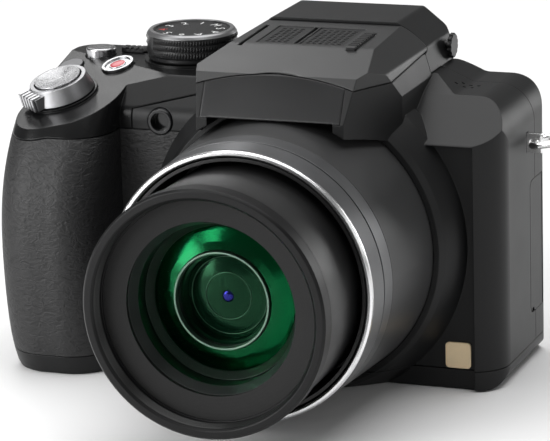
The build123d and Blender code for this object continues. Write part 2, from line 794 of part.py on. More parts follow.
def round_button(radius, height, place, dome=0):
    """Cap, stem through the wall and retaining flange, along the Z of its place."""
    low = WALL + SHAFT_GAP
    cap = Pos(0, 0, (height - low) / 2) * Cylinder(radius, height + low)
    if dome:
        rim = cap.edges().group_by(Axis.Z)[-1]
        cap = fillet(rim, dome)
    flange = Pos(0, 0, -low - BUTTON_FLANGE_T / 2) * Cylinder(radius + BUTTON_FLANGE, BUTTON_FLANGE_T)
    return place * (cap + flange)


def rear_place(x, z):
    """Place on the rear face with Z pointing out of it."""
    return Location(Plane(origin=(x, REAR_Y, z), x_dir=(1, 0, 0), z_dir=(0, 1, 0)))


REAR_BUTTONS = (
    ("play_button", PLAY_X, PLAY_Z),
    ("display_button", DISPLAY_X, DISPLAY_Z),
    ("quick_button", QUICK_X, QUICK_Z),
    ("lock_button", LOCK_X, LOCK_Z),
    ("evf_button", EVF_BUTTON_X, EVF_BUTTON_Z),
)


def battery_box(grow=0, low=0):
    """Space of the battery, grown to the sides and lowered."""
    return block(CELL_LEFT_X - grow, CELL_LEFT_X + CELL_W + grow, CELL_FRONT_Y - grow,
                 CELL_FRONT_Y + CELL_D + grow, CELL_FOOT_Z - low, CELL_FOOT_Z + CELL_H + grow)


DOOR_LEFT_X = CELL_LEFT_X - DOOR_SIDE
DOOR_AXIS_X = CELL_LEFT_X + CELL_W + DOOR_AXIS_IN
DOOR_AXIS_Z = DOOR_T / 2
DOOR_FRONT_Y = CELL_FRONT_Y - DOOR_SIDE
DOOR_REAR_Y = CELL_FRONT_Y + CELL_D + DOOR_SIDE


def battery_door(grow=0):
    plate = block(DOOR_LEFT_X - grow, DOOR_AXIS_X, DOOR_FRONT_Y - grow, DOOR_REAR_Y + grow, 0, DOOR_T)
    end = rod_y(DOOR_T / 2 + grow, DOOR_FRONT_Y - grow, DOOR_REAR_Y + grow, DOOR_AXIS_X, DOOR_AXIS_Z)
    door = plate + end
    if grow:
        slot = block(DOOR_LEFT_X - grow, DOOR_AXIS_X + DOOR_T / 2 + grow, DOOR_FRONT_Y - grow,
                     DOOR_REAR_Y + grow, -OVERRUN, WALL + OVERRUN)
        return slot + door_pins(SHAFT_GAP, SEAT)
    latch_well = block(LATCH_X - LATCH_L / 2 - GAP, LATCH_X + LATCH_TRAVEL + LATCH_L / 2 + GAP,
                       latch_mid() - LATCH_W / 2 - GAP, latch_mid() + LATCH_W / 2 + GAP, -OVERRUN,
                       LATCH_T + SEAT)
    return door + door_pins() - latch_well


def latch_mid():
    """Middle of the battery door from front to rear."""
    return (DOOR_FRONT_Y + DOOR_REAR_Y) / 2


def door_pins(grow=0, longer=0):
    """Hinge pins at both ends of the battery door."""
    reach = DOOR_PIN_L + longer
    return rod_y(DOOR_PIN_R + grow, DOOR_FRONT_Y - reach, DOOR_REAR_Y + reach, DOOR_AXIS_X, DOOR_AXIS_Z)


def door_latch():
    slide = block(LATCH_X - LATCH_L / 2, LATCH_X + LATCH_L / 2, latch_mid() - LATCH_W / 2,
                  latch_mid() + LATCH_W / 2, SEAT, LATCH_T)
    groove = block(LATCH_X - TAB_RIB_W / 2, LATCH_X + TAB_RIB_W / 2, latch_mid() - LATCH_W / 4,
                   latch_mid() + LATCH_W / 4, -OVERRUN, SEAT + TAB_RIB_W)
    for step in (-1, 0, 1):
        slide = slide - Pos(step * LATCH_L / 4, 0, 0) * groove
    return slide


PORT_AXIS_X = RIGHT_X - PORT_DOOR_T / 2


def port_door(grow=0):
    face = outline((
        (PORT_FRONT_Y - grow, PORT_FOOT_Z - grow, PORT_CORNER_R),
        (PORT_AXIS_Y, PORT_FOOT_Z - grow, 0),
        (PORT_AXIS_Y, PORT_TOP_Z + grow, 0),
        (PORT_FRONT_Y - grow, PORT_TOP_Z + grow, PORT_CORNER_R),
    ))
    inner = RIGHT_X - PORT_DOOR_T
    end = rod_z(PORT_DOOR_T / 2 + grow, PORT_FOOT_Z - grow, PORT_TOP_Z + grow, PORT_AXIS_X, PORT_AXIS_Y)
    if grow:
        deep = RIGHT_X - WALL - OVERRUN
        slot = along_x(face, deep, RIGHT_X + OVERRUN)
        tail = block(deep, RIGHT_X + OVERRUN, PORT_AXIS_Y, PORT_AXIS_Y + PORT_DOOR_T / 2 + grow,
                     PORT_FOOT_Z - grow, PORT_TOP_Z + grow)
        return slot + tail + port_pins(SHAFT_GAP, SEAT)
    notch = rod_x(PORT_CORNER_R / 2, RIGHT_X - PORT_DOOR_T / 2, RIGHT_X + OVERRUN,
                  PORT_FRONT_Y + PORT_CORNER_R, PORT_FOOT_Z)
    return along_x(face, inner, RIGHT_X) + end - notch + port_pins()


def port_pins(grow=0, longer=0):
    """Hinge pins at both ends of the socket door."""
    reach = PORT_PIN_L + longer
    return rod_z(PORT_PIN_R + grow, PORT_FOOT_Z - reach, PORT_TOP_Z + reach, PORT_AXIS_X, PORT_AXIS_Y)


def port_block():
    face_x = RIGHT_X - WALL - SEAT
    form = block(face_x - PORT_BLOCK_D, face_x, PORT_FRONT_Y + GAP, PORT_AXIS_Y - GAP, PORT_FOOT_Z + GAP,
                 PORT_TOP_Z - GAP)
    mid = (PORT_FRONT_Y + PORT_AXIS_Y) / 2
    for level, height in zip(PORT_SOCKET_LEVELS, PORT_SOCKET_HEIGHTS):
        form = form - block(face_x - PORT_SOCKET_D, face_x + OVERRUN, mid - PORT_SOCKET_W / 2,
                            mid + PORT_SOCKET_W / 2, level - height / 2, level + height / 2)
        tongue = PORT_SOCKET_W / 4
        form = form + block(face_x - PORT_SOCKET_D, face_x - SEAT, mid - tongue / 2, mid + tongue / 2,
                            level - height / 3, level + height / 3)
    return form


def fixed_barrel():
    """Fixed barrel with its base plate and the two guide rods of the iris unit."""
    outer = (
        (BARREL_BORE_R, BARREL_NOSE_Y),
        (BARREL_NOSE_R, BARREL_NOSE_Y),
        (BARREL_REAR_R, SHROUD_MOUTH_Y),
        (BARREL_REAR_R, BARREL_NECK_Y),
        (BARREL_NECK_R, BARREL_NECK_Y),
        (BARREL_NECK_R, BARREL_BASE_Y + BARREL_BASE_T),
        (0, BARREL_BASE_Y + BARREL_BASE_T),
        (0, BARREL_BASE_Y),
        (BARREL_BORE_R, BARREL_BASE_Y),
    )
    barrel = turned(outer)
    barrel = barrel - block(-SENSOR_HOLE_W / 2, SENSOR_HOLE_W / 2, BARREL_BASE_Y - OVERRUN,
                            BARREL_BASE_Y + OVERRUN, LENS_Z - SENSOR_HOLE_H / 2, LENS_Z + SENSOR_HOLE_H / 2)
    for x in (-GUIDE_ROD_REACH, GUIDE_ROD_REACH):
        barrel = barrel + rod_y(GUIDE_ROD_R, GUIDE_ROD_FRONT_Y, BARREL_BASE_Y, x)
    return barrel


def nose_ring():
    radius = BARREL_NOSE_R + (TRIM_R - BARREL_NOSE_R) * (NOSE_GROOVE_Y - BARREL_NOSE_Y) / (
        TRIM_FRONT_Y - BARREL_NOSE_Y)
    ring = turned((
        (BARREL_BORE_R, BARREL_NOSE_Y - SEAT),
        (BARREL_NOSE_R, BARREL_NOSE_Y - SEAT),
        (radius, NOSE_GROOVE_Y),
        (radius - NOSE_GROOVE_T / 2, NOSE_GROOVE_Y),
        (radius - NOSE_GROOVE_T / 2, NOSE_GROOVE_Y - NOSE_GROOVE_T),
        (radius, NOSE_GROOVE_Y - NOSE_GROOVE_T),
        (TRIM_R - TRIM_BEVEL / 2, TRIM_REAR_Y),
        (NOSE_LIP_R, TRIM_REAR_Y),
        (NOSE_LIP_R, TRIM_REAR_Y + NOSE_LIP_T),
        (BARREL_BORE_R, TRIM_REAR_Y + NOSE_LIP_T),
    ))
    return ring


def trim_ring():
    return turned((
        (NOSE_LIP_R, TRIM_REAR_Y - SEAT),
        (TRIM_R, TRIM_REAR_Y - SEAT),
        (TRIM_R, TRIM_FRONT_Y + TRIM_BEVEL),
        (TRIM_R - TRIM_BEVEL, TRIM_FRONT_Y),
        (NOSE_LIP_R + TRIM_BEVEL, TRIM_FRONT_Y),
        (NOSE_LIP_R, TRIM_FRONT_Y + TRIM_BEVEL),
    ))


def zoom_barrel():
    rear = STAGE_FRONT_Y + STAGE_LENGTH
    return turned((
        (STAGE_BORE_R, STAGE_FRONT_Y),
        (STAGE_R, STAGE_FRONT_Y),
        (STAGE_R, rear - STAGE_FLANGE_T),
        (STAGE_FLANGE_R, rear - STAGE_FLANGE_T),
        (STAGE_FLANGE_R, rear),
        (STAGE_BORE_R, rear),
    ))


BEZEL_REAR_Y = BEZEL_FRONT_Y + BEZEL_T
FACE_FRONT_Y = BEZEL_FRONT_Y + THREAD_T
GLASS_CELL_Y = FACE_FRONT_Y + FACE_T + FACE_DISH
GLASS_FRONT_Y = GLASS_CELL_Y + CELL_STEP_T
NECK_FRONT_Y = GLASS_FRONT_Y + CELL_GLASS_T


def front_barrel():
    """Second barrel with the stepped cell that carries the front glass."""
    return turned((
        (FRONT_R, BEZEL_REAR_Y),
        (FRONT_R, FRONT_REAR_Y - FRONT_FLANGE_T),
        (FRONT_FLANGE_R, FRONT_REAR_Y - FRONT_FLANGE_T),
        (FRONT_FLANGE_R, FRONT_REAR_Y),
        (FRONT_BORE_R, FRONT_REAR_Y),
        (FRONT_BORE_R, NECK_FRONT_Y + CELL_NECK_T),
        (CELL_NECK_R, NECK_FRONT_Y + CELL_NECK_T + INNER_BACK - CELL_NECK_T),
        (INNER_R + GLASS_FIT, NECK_FRONT_Y + CELL_NECK_T + INNER_BACK - CELL_NECK_T),
        (INNER_R + GLASS_FIT, NECK_FRONT_Y),
        (CELL_STEP_R + GLASS_FIT, NECK_FRONT_Y),
        (CELL_STEP_R + GLASS_FIT, GLASS_FRONT_Y),
        (FACE_HOLE_R, GLASS_CELL_Y),
        (FACE_R, GLASS_CELL_Y),
        (FACE_R, BEZEL_REAR_Y),
    ))


def bezel_ring():
    """Outer ring at the mouth with the bore of the filter thread."""
    return turned((
        (THREAD_R, BEZEL_FRONT_Y + BEZEL_BEVEL),
        (THREAD_R + BEZEL_BEVEL, BEZEL_FRONT_Y),
        (BEZEL_R - BEZEL_BEVEL, BEZEL_FRONT_Y),
        (BEZEL_R, BEZEL_FRONT_Y + BEZEL_BEVEL),
        (BEZEL_R, BEZEL_REAR_Y - SEAT),
        (FACE_R + SEAT, BEZEL_REAR_Y - SEAT),
        (FACE_R + SEAT, FACE_FRONT_Y),
        (THREAD_R, FACE_FRONT_Y),
    ))


def face_ring():
    """Dished matt ring between the thread and the glass."""
    return turned((
        (FACE_HOLE_R, FACE_FRONT_Y + FACE_DISH),
        (FACE_R - GLASS_FIT, FACE_FRONT_Y + GAP),
        (FACE_R - GLASS_FIT, GLASS_CELL_Y - SEAT),
        (FACE_HOLE_R, GLASS_CELL_Y - SEAT),
    ))


def lens(radius, pole_y, sag, thick, rear_sag):
    """Glass with a convex front and a hollow rear."""
    front_edge = pole_y + sag
    rear_pole = pole_y + thick
    half = radius / 2
    edges = [
        ThreePointArc((0, pole_y), (half, pole_y + cap_height(radius, sag, half)), (radius, front_edge)),
        Line((radius, front_edge), (radius, rear_pole + rear_sag)),
        ThreePointArc((radius, rear_pole + rear_sag), (half, rear_pole + cap_height(radius, rear_sag, half)),
                      (0, rear_pole)),
        Line((0, rear_pole), (0, pole_y)),
    ]
    return Pos(0, 0, LENS_Z) * revolve(make_face(edges), Axis.Y)


def front_lens():
    return lens(CELL_STEP_R, GLASS_FRONT_Y - GLASS_SAG + SEAT, GLASS_SAG, GLASS_T, INNER_SAG)


def inner_lens():
    """Second glass in a bright retaining ring."""
    glass = lens(INNER_R - INNER_RIM_T, NECK_FRONT_Y + CELL_NECK_T, INNER_SAG, INNER_T, INNER_SAG / 2)
    rim = ring_y(INNER_R, INNER_R - INNER_RIM_T + GLASS_FIT, NECK_FRONT_Y + SEAT, NECK_FRONT_Y + INNER_BACK - SEAT)
    return glass, rim


def iris_unit():
    unit = ring_y(IRIS_R, IRIS_HOLE_R, IRIS_FRONT_Y, IRIS_FRONT_Y + IRIS_T)
    for x in (-GUIDE_ROD_REACH, GUIDE_ROD_REACH):
        unit = unit - rod_y(GUIDE_ROD_R + SHAFT_GAP, IRIS_FRONT_Y - OVERRUN, IRIS_FRONT_Y + IRIS_T + OVERRUN, x)
    return unit


def flash_lid(shell):
    lid = keep_large(shell & lid_zone())
    top = LID_TOP_Z
    for x0, x1 in ((GRILLE_LEFT_X, GRILLE_MID_X - GRILLE_SLOT_W), (GRILLE_MID_X + GRILLE_SLOT_W, GRILLE_RIGHT_X)):
        lid = lid - grille_bed(x0, x1, GAP / 2)
    for x, width, y0 in ((GRILLE_MID_X, GRILLE_SLOT_W, GRILLE_FRONT_Y), (LEFT_SLOT_X, LEFT_SLOT_W, TAB_FRONT_Y)):
        lid = lid - lid_groove(x - width / 2, x + width / 2, y0, GRILLE_REAR_Y, GRILLE_DEPTH)
    lid = lid - lid_groove(TAB_X - TAB_W / 2 - SEAT, TAB_X + TAB_W / 2 + SEAT, TAB_FRONT_Y - SEAT,
                           TAB_FRONT_Y + TAB_L + TAB_TRAVEL + SEAT, TAB_DEPTH + TAB_ROOM)
    for side in (-1, 1):
        knuckle = rod_x(KNUCKLE_R, min(side * KNUCKLE_X, side * (EAR_X - SEAT)),
                        max(side * KNUCKLE_X, side * (EAR_X - SEAT)), LID_AXIS_Y, LID_AXIS_Z)
        ear = rod_x(EAR_ROOM_R, min(side * (EAR_X - SEAT), side * (EAR_X + EAR_W + SEAT)),
                    max(side * (EAR_X - SEAT), side * (EAR_X + EAR_W + SEAT)), LID_AXIS_Y, LID_AXIS_Z)
        foot = block(min(side * (EAR_X - SEAT), side * (EAR_X + EAR_W + SEAT)),
                     max(side * (EAR_X - SEAT), side * (EAR_X + EAR_W + SEAT)),
                     LID_AXIS_Y - EAR_ROOM_R, LID_AXIS_Y + LID_TAIL_R + OVERRUN, 0, LID_AXIS_Z)
        lid = lid + knuckle - ear - foot
        arm = block(min(side * (FLASH_HALF - FLASH_ARM_W), side * FLASH_HALF),
                    max(side * (FLASH_HALF - FLASH_ARM_W), side * FLASH_HALF),
                    FLASH_REAR_Y - FLASH_ARM_W, FLASH_REAR_Y, FLASH_TOP_Z + SEAT, LID_BREAK_Z)
        lid = lid + (arm & hump_form(SKIN))
    return lid - rod_x(PIN_R + SHAFT_GAP, -PIN_HALF - OVERRUN, PIN_HALF + OVERRUN, LID_AXIS_Y, LID_AXIS_Z)


def lid_groove(x0, x1, y0, y1, depth):
    """Groove of even depth in the top of the lid."""
    return block(x0, x1, y0, y1, 0, 2 * ROOF_Z) & (above(HUMP_SEAM_Z) - hump_form(depth))


def grille_bed(x0, x1, grow=0):
    """Sunk bed of one microphone grille."""
    return lid_groove(x0 - grow, x1 + grow, GRILLE_FRONT_Y - grow, GRILLE_REAR_Y + grow, GRILLE_DEPTH)


def mic_grilles():
    """Two mesh plates that follow the top of the lid."""
    band = hump_form(GRILLE_DEPTH - GRILLE_T) - hump_form(GRILLE_DEPTH - SEAT / 2)
    plates = []
    for x0, x1 in ((GRILLE_LEFT_X, GRILLE_MID_X - GRILLE_SLOT_W), (GRILLE_MID_X + GRILLE_SLOT_W, GRILLE_RIGHT_X)):
        wide = x1 - x0
        long = GRILLE_REAR_Y - GRILLE_FRONT_Y
        across = int((wide - 2 * GRILLE_RIM) / GRILLE_PITCH)
        down = int((long - 2 * GRILLE_RIM) / GRILLE_PITCH)
        mesh = Rectangle(wide, long) - GridLocations(GRILLE_PITCH, GRILLE_PITCH, across, down) * Rectangle(
            GRILLE_HOLE, GRILLE_HOLE)
        mesh = Pos((x0 + x1) / 2, (GRILLE_FRONT_Y + GRILLE_REAR_Y) / 2) * mesh
        plates.append(along_z(mesh, HUMP_SEAM_Z, 2 * ROOF_Z) & band)
    return plates


def flash_release():
    tab = block(TAB_X - TAB_W / 2, TAB_X + TAB_W / 2, TAB_FRONT_Y, TAB_FRONT_Y + TAB_L, 0, 2 * ROOF_Z)
    rise = Pos(0, 0, TAB_H) * hump_form(0)
    tab = tab & rise & (above(HUMP_SEAM_Z) - hump_form(TAB_DEPTH - SEAT))
    pitch = TAB_L / TAB_RIBS
    for index in range(1, TAB_RIBS):
        y = TAB_FRONT_Y + index * pitch
        rib = block(TAB_X - TAB_W, TAB_X + TAB_W, y - TAB_RIB_W / 2, y + TAB_RIB_W / 2, 0, 2 * ROOF_Z)
        tab = tab - (rib - Pos(0, 0, TAB_H / 2) * hump_form(0))
    return keep_large(tab)


def flash_unit():
    """Reflector housing with its window, carried below the lid."""
    housing = block(-FLASH_HALF, FLASH_HALF, FLASH_FRONT_Y + FLASH_WINDOW_T + SEAT, FLASH_REAR_Y, FLASH_FOOT_Z,
                    FLASH_TOP_Z)
    window = block(-FLASH_HALF, FLASH_HALF, FLASH_FRONT_Y, FLASH_FRONT_Y + FLASH_WINDOW_T, FLASH_FOOT_Z,
                   FLASH_TOP_Z)
    return housing, window


def flash_pin():
    return rod_x(PIN_R, -PIN_HALF, PIN_HALF, LID_AXIS_Y, LID_AXIS_Z)


def hinge_posts():
    """Rear wall of the flash well with the two ears that hold the pin."""
    half = HUMP_HALF_TOP
    wall = block(-half, half, WELL_REAR_Y, WELL_REAR_Y + WELL_T, WELL_FLOOR_Z + WELL_T + SEAT, WELL_TOP_Z)
    for side in (-1, 1):
        x0 = min(side * EAR_X, side * (EAR_X + EAR_W))
        post = block(x0, x0 + EAR_W, LID_AXIS_Y - EAR_R, WELL_REAR_Y, WELL_FLOOR_Z + WELL_T + SEAT,
                     LID_AXIS_Z - LID_TAIL_R)
        stem = block(x0, x0 + EAR_W, LID_AXIS_Y - EAR_R, LID_AXIS_Y + EAR_R, WELL_TOP_Z - LID_TAIL_R, LID_AXIS_Z)
        wall = wall + post + stem + rod_x(EAR_R, x0, x0 + EAR_W, LID_AXIS_Y, LID_AXIS_Z)
    return wall - rod_x(PIN_R + SHAFT_GAP, -PIN_HALF - OVERRUN, PIN_HALF + OVERRUN, LID_AXIS_Y, LID_AXIS_Z)


def well_floor():
    """Floor below the flash, part of the front cover."""
    half = HUMP_HALF - WALL / 2
    return block(-half, half, HUMP_WIDE_Y, WELL_REAR_Y + WELL_T, WELL_FLOOR_Z, WELL_FLOOR_Z + WELL_T)


def lug(side):
    """Strap lug that stands out of one side of the body."""
    edge = RIGHT_X if side > 0 else LEFT_X
    x0 = min(edge - side * LUG_IN, edge + side * LUG_OUT)
    x1 = max(edge - side * LUG_IN, edge + side * LUG_OUT)
    plate = block(x0, x1, LUG_Y - LUG_T / 2, LUG_Y + LUG_T / 2, LUG_Z - LUG_H / 2, LUG_Z + LUG_H / 2)
    x = edge + side * LUG_HOLE_OUT
    return plate - rod_y(LUG_HOLE_R, LUG_Y - OVERRUN, LUG_Y + OVERRUN, x, LUG_Z)


def strap_ring(side):
    """Wire ring through the lug: the right one held a little above level, the left one hanging."""
    edge = RIGHT_X if side > 0 else LEFT_X
    x = edge + side * LUG_HOLE_OUT
    half = RING_W / 2
    path = FilletPolyline((0, half), (RING_REACH, half), (RING_REACH, -half), (0, -half), radius=RING_R, close=True)
    start = Plane(origin=path @ 0, z_dir=path % 0)
    wire = sweep(start * Circle(RING_WIRE_R), path=path)
    turn = Rot(Y=-RING_TILT_DEG) if side > 0 else Rot(Y=RING_HANG_DEG)
    return Pos(x, LUG_Y, LUG_Z) * turn * wire


def lug_hole(side):
    """Slot in the cover for one lug."""
    edge = RIGHT_X if side > 0 else LEFT_X
    x0 = min(edge - side * OVERRUN, edge + side * OVERRUN)
    return block(x0, x0 + 2 * OVERRUN, LUG_Y - LUG_T / 2 - SEAT, LUG_Y + LUG_T / 2 + SEAT,
                 LUG_Z - LUG_H / 2 - SEAT, LUG_Z + LUG_H / 2 + SEAT)


def zoom_lever():
    """Cone ring round the shutter button with a ribbed finger tab."""
    top = LEVER_FOOT + LEVER_H
    ring = Pos(0, 0, (LEVER_FOOT + top) / 2) * Cone(LEVER_R, LEVER_TOP_R, LEVER_H)
    tab = Pos(LEVER_TAB_R / 2 + LEVER_BORE_R / 2, 0, LEVER_FOOT + LEVER_TAB_H / 2) * Box(
        LEVER_TAB_R - LEVER_BORE_R, LEVER_TAB_W, LEVER_TAB_H)
    tab = fillet(tab.edges().filter_by(Axis.Z).group_by(Axis.X)[-1], LEVER_TAB_H / 4)
    form = ring + Rot(Z=LEVER_TAB_DEG) * tab
    form = form - Pos(0, 0, top) * Cylinder(LEVER_BORE_R, 2 * LEVER_H)
    foot = LEVER_FOOT - SEAT
    skirt = Pos(0, 0, (foot - WALL) / 2) * Cylinder(LEVER_SKIRT_R, foot + WALL)
    deck = Pos(0, 0, LEVER_FOOT + BUTTON_FLANGE_T / 2 - SEAT) * Cylinder(
        LEVER_TOP_R, BUTTON_FLANGE_T)
    form = form + skirt + deck
    form = form - Cylinder(SHUTTER_STEM_R + BUTTON_GAP, 4 * LEVER_H)
    return on_slant(SLANT_X, SLANT_Y) * form


def shutter_button():
    cap = Pos(0, 0, SHUTTER_TOP - SHUTTER_T / 2) * Cylinder(SHUTTER_R, SHUTTER_T)
    sphere = (SHUTTER_R * SHUTTER_R + SHUTTER_DISH * SHUTTER_DISH) / (2 * SHUTTER_DISH)
    cap = cap - Pos(0, 0, SHUTTER_TOP - SHUTTER_DISH + sphere) * Sphere(sphere)
    bottom = -WALL - SHUTTER_TRAVEL
    stem = Pos(0, 0, (SHUTTER_TOP - SHUTTER_T + bottom) / 2) * Cylinder(
        SHUTTER_STEM_R, SHUTTER_TOP - SHUTTER_T - bottom)
    return on_slant(SLANT_X, SLANT_Y) * (cap + stem)


def mode_dial():
    foot = PLATE_Z + DIAL_FOOT
    top = foot + DIAL_H
    dial = rod_z(DIAL_R, foot, top, DIAL_X, DIAL_Y)
    dial = chamfer(dial.edges().group_by(Axis.Z)[-1], DIAL_BEVEL)
    dial = dial - rod_z(DIAL_DISH_R, top - DIAL_DISH, top + OVERRUN, DIAL_X, DIAL_Y)
    flute = rod_z(DIAL_FLUTE_R, foot + DIAL_BEVEL, top - DIAL_BEVEL, DIAL_X + DIAL_R, DIAL_Y)
    centre = Pos(DIAL_X, DIAL_Y, 0)
    for index in range(DIAL_FLUTES):
        dial = dial - centre * Rot(Z=index * 360 / DIAL_FLUTES) * centre.inverse() * flute
    shaft = rod_z(DIAL_SHAFT_R, PLATE_Z - WALL - SEAT, foot + SEAT, DIAL_X, DIAL_Y)
    return dial + shaft


def thumb_dial():
    z0 = THUMB_Z - THUMB_T / 2
    z1 = THUMB_Z + THUMB_T / 2
    dial = rod_z(THUMB_R, z0, z1, THUMB_X, THUMB_Y)
    flute = rod_z(DIAL_FLUTE_R, z0 - OVERRUN, z1 + OVERRUN, THUMB_X + THUMB_R, THUMB_Y)
    centre = Pos(THUMB_X, THUMB_Y, 0)
    for index in range(THUMB_FLUTES):
        dial = dial - centre * Rot(Z=index * 360 / THUMB_FLUTES) * centre.inverse() * flute
    return dial + rod_z(THUMB_AXLE_R, z0 - THUMB_AXLE_OUT, z1 + THUMB_AXLE_OUT, THUMB_X, THUMB_Y)


def power_switch(grow=0):
    """Sliding switch; with a grow it is the slot that its keel runs in."""
    if grow:
        return block(SWITCH_X - SWITCH_L / 4 - grow, SWITCH_X + SWITCH_L / 4 + SWITCH_TRAVEL + grow,
                     SWITCH_Y - SWITCH_KEEL_W / 2 - grow, SWITCH_Y + SWITCH_KEEL_W / 2 + grow,
                     PLATE_Z - OVERRUN, PLATE_Z + OVERRUN)
    knob = block(SWITCH_X - SWITCH_L / 2, SWITCH_X + SWITCH_L / 2, SWITCH_Y - SWITCH_W / 2,
                 SWITCH_Y + SWITCH_W / 2, PLATE_Z + SEAT, PLATE_Z + SWITCH_H)
    groove = block(-TAB_RIB_W / 2, TAB_RIB_W / 2, SWITCH_Y - SWITCH_W, SWITCH_Y + SWITCH_W,
                   PLATE_Z + SWITCH_H - TAB_RIB_W, PLATE_Z + ROOF_Z)
    for step in (-1, 0, 1):
        knob = knob - Pos(SWITCH_X + step * SWITCH_L / 4, 0, 0) * groove
    keel = block(SWITCH_X - SWITCH_L / 4, SWITCH_X + SWITCH_L / 4, SWITCH_Y - SWITCH_KEEL_W / 2,
                 SWITCH_Y + SWITCH_KEEL_W / 2, PLATE_Z - WALL, PLATE_Z + SEAT)
    return knob + keel


def rear_pad():
    """Four-way pad as a tilting ring with a retaining flange."""
    deep = WALL + PAD_T / 2
    pad = Pos(0, 0, (PAD_OUT - deep) / 2) * Cylinder(PAD_R, PAD_OUT + deep)
    pad = chamfer(pad.edges().group_by(Axis.Z)[-1], PAD_OUT / 2)
    pad = pad - Cylinder(MENU_R + 2 * BUTTON_GAP, 4 * deep)
    return rear_place(PAD_X, PAD_Z) * pad


def menu_button():
    deep = WALL + PAD_T / 2
    cap = Pos(0, 0, (MENU_OUT - deep) / 2) * Cylinder(MENU_R, MENU_OUT + deep)
    return rear_place(PAD_X, PAD_Z) * fillet(cap.edges().group_by(Axis.Z)[-1], MENU_OUT / 3)


def viewfinder():
    body = block(-EVF_HALF, EVF_HALF, EVF_FRONT_Y, EVF_REAR_Y, EVF_FOOT_Z, EVF_TOP_Z)
    hole = block(-EVF_HALF + EVF_WALL, EVF_HALF - EVF_WALL, EVF_FRONT_Y + EVF_WALL, EVF_REAR_Y + OVERRUN,
                 EVF_FOOT_Z + EVF_WALL, EVF_TOP_Z - EVF_WALL)
    return body - hole


def eye_window(grow=0):
    """Opening of the eyepiece in the rear of the hump."""
    mid = (EYE_FOOT_Z + EYE_TOP_Z) / 2
    face = Pos(0, mid) * RectangleRounded(2 * (EYE_HALF + grow), EYE_TOP_Z - EYE_FOOT_Z + 2 * grow, CUP_HOLE_R)
    return face


def eyecup():
    mid = (CUP_FOOT_Z + CUP_TOP_Z) / 2
    face = Pos(0, mid) * RectangleRounded(2 * CUP_HALF, CUP_TOP_Z - CUP_FOOT_Z, CUP_EDGE_R)
    cup = along_y(face, HUMP_REAR_Y + SEAT, HUMP_REAR_Y + CUP_T)
    cup = fillet(cup.edges().group_by(Axis.Y)[-1], CUP_T / 3)
    return cup - along_y(eye_window(SEAT), HUMP_REAR_Y - OVERRUN, HUMP_REAR_Y + 2 * CUP_T)


def eyepiece_lens():
    return along_y(eye_window(-SEAT), HUMP_REAR_Y - EYEPIECE_T, HUMP_REAR_Y)


def diopter_dial():
    side = HUMP_HALF - 2 * SEAT
    knob = rod_x(DIOPTER_R, side, side + DIOPTER_T, DIOPTER_Y, DIOPTER_Z)
    knob = chamfer(knob.edges().group_by(Axis.X)[-1], DIOPTER_T / 4)
    for index in range(THUMB_FLUTES // 2):
        angle = index * math.tau / (THUMB_FLUTES // 2)
        knob = knob - rod_x(DIAL_FLUTE_R, side - OVERRUN, side + DIOPTER_T + OVERRUN,
                            DIOPTER_Y + DIOPTER_R * math.cos(angle), DIOPTER_Z + DIOPTER_R * math.sin(angle))
    return knob + rod_x(DIOPTER_SHAFT_R, side - WALL, side + SEAT, DIOPTER_Y, DIOPTER_Z)


def screen_face(grow=0):
    mid_x = (SCREEN_LEFT_X + SCREEN_RIGHT_X) / 2
    mid_z = (SCREEN_FOOT_Z + SCREEN_TOP_Z) / 2
    wide = SCREEN_RIGHT_X - SCREEN_LEFT_X + 2 * grow
    high = SCREEN_TOP_Z - SCREEN_FOOT_Z + 2 * grow
    return Pos(mid_x, mid_z) * RectangleRounded(wide, high, SCREEN_R)


def af_lamp():
    """Cup with a bright rim and a sunk window."""
    front = VALLEY_Y - LAMP_OUT
    return turned((
        (0, front + LAMP_DEPTH),
        (LAMP_BORE_R, front + LAMP_DEPTH),
        (LAMP_BORE_R, front),
        (LAMP_R - LAMP_OUT / 2, front),
        (LAMP_R, front + LAMP_OUT / 2),
        (LAMP_R, front + LAMP_T),
        (0, front + LAMP_T),
    ), LAMP_X, LAMP_Z)


def badge_plate():
    face = Pos(BADGE_X, BADGE_Z) * RectangleRounded(BADGE_SIZE, BADGE_SIZE, BADGE_R)
    back = SLAB_FRONT_Y + RECESS_DEPTH
    return along_y(face, back - BADGE_T, back - SEAT / 2)


def speaker():
    top = SHOULDER_Z - WALL - SEAT
    return rod_z(SPEAKER_R, top - SPEAKER_T, top, SPEAKER_X, SPEAKER_Y)


def speaker_holes():
    holes = []
    for row in (-1, 1):
        for column in (-1, 0, 1):
            x = SPEAKER_X + column * SPEAKER_PITCH_X + row * SPEAKER_PITCH_X / 4
            y = SPEAKER_Y + row * SPEAKER_PITCH_Y / 2
            holes.append(rod_z(SPEAKER_HOLE_R, SHOULDER_Z - OVERRUN, SHOULDER_Z + OVERRUN, x, y))
    return holes


def tripod_bush():
    bush = rod_z(BUSH_R, 0, BUSH_H, 0, 0)
    flange_z = CHASSIS_FOOT_Z + CHASSIS_T + SEAT
    bush = bush + rod_z(BUSH_FLANGE_R, flange_z, flange_z + BUSH_FLANGE_T, 0, 0)
    return bush - rod_z(TRIPOD_R, -OVERRUN, TRIPOD_DEPTH, 0, 0)


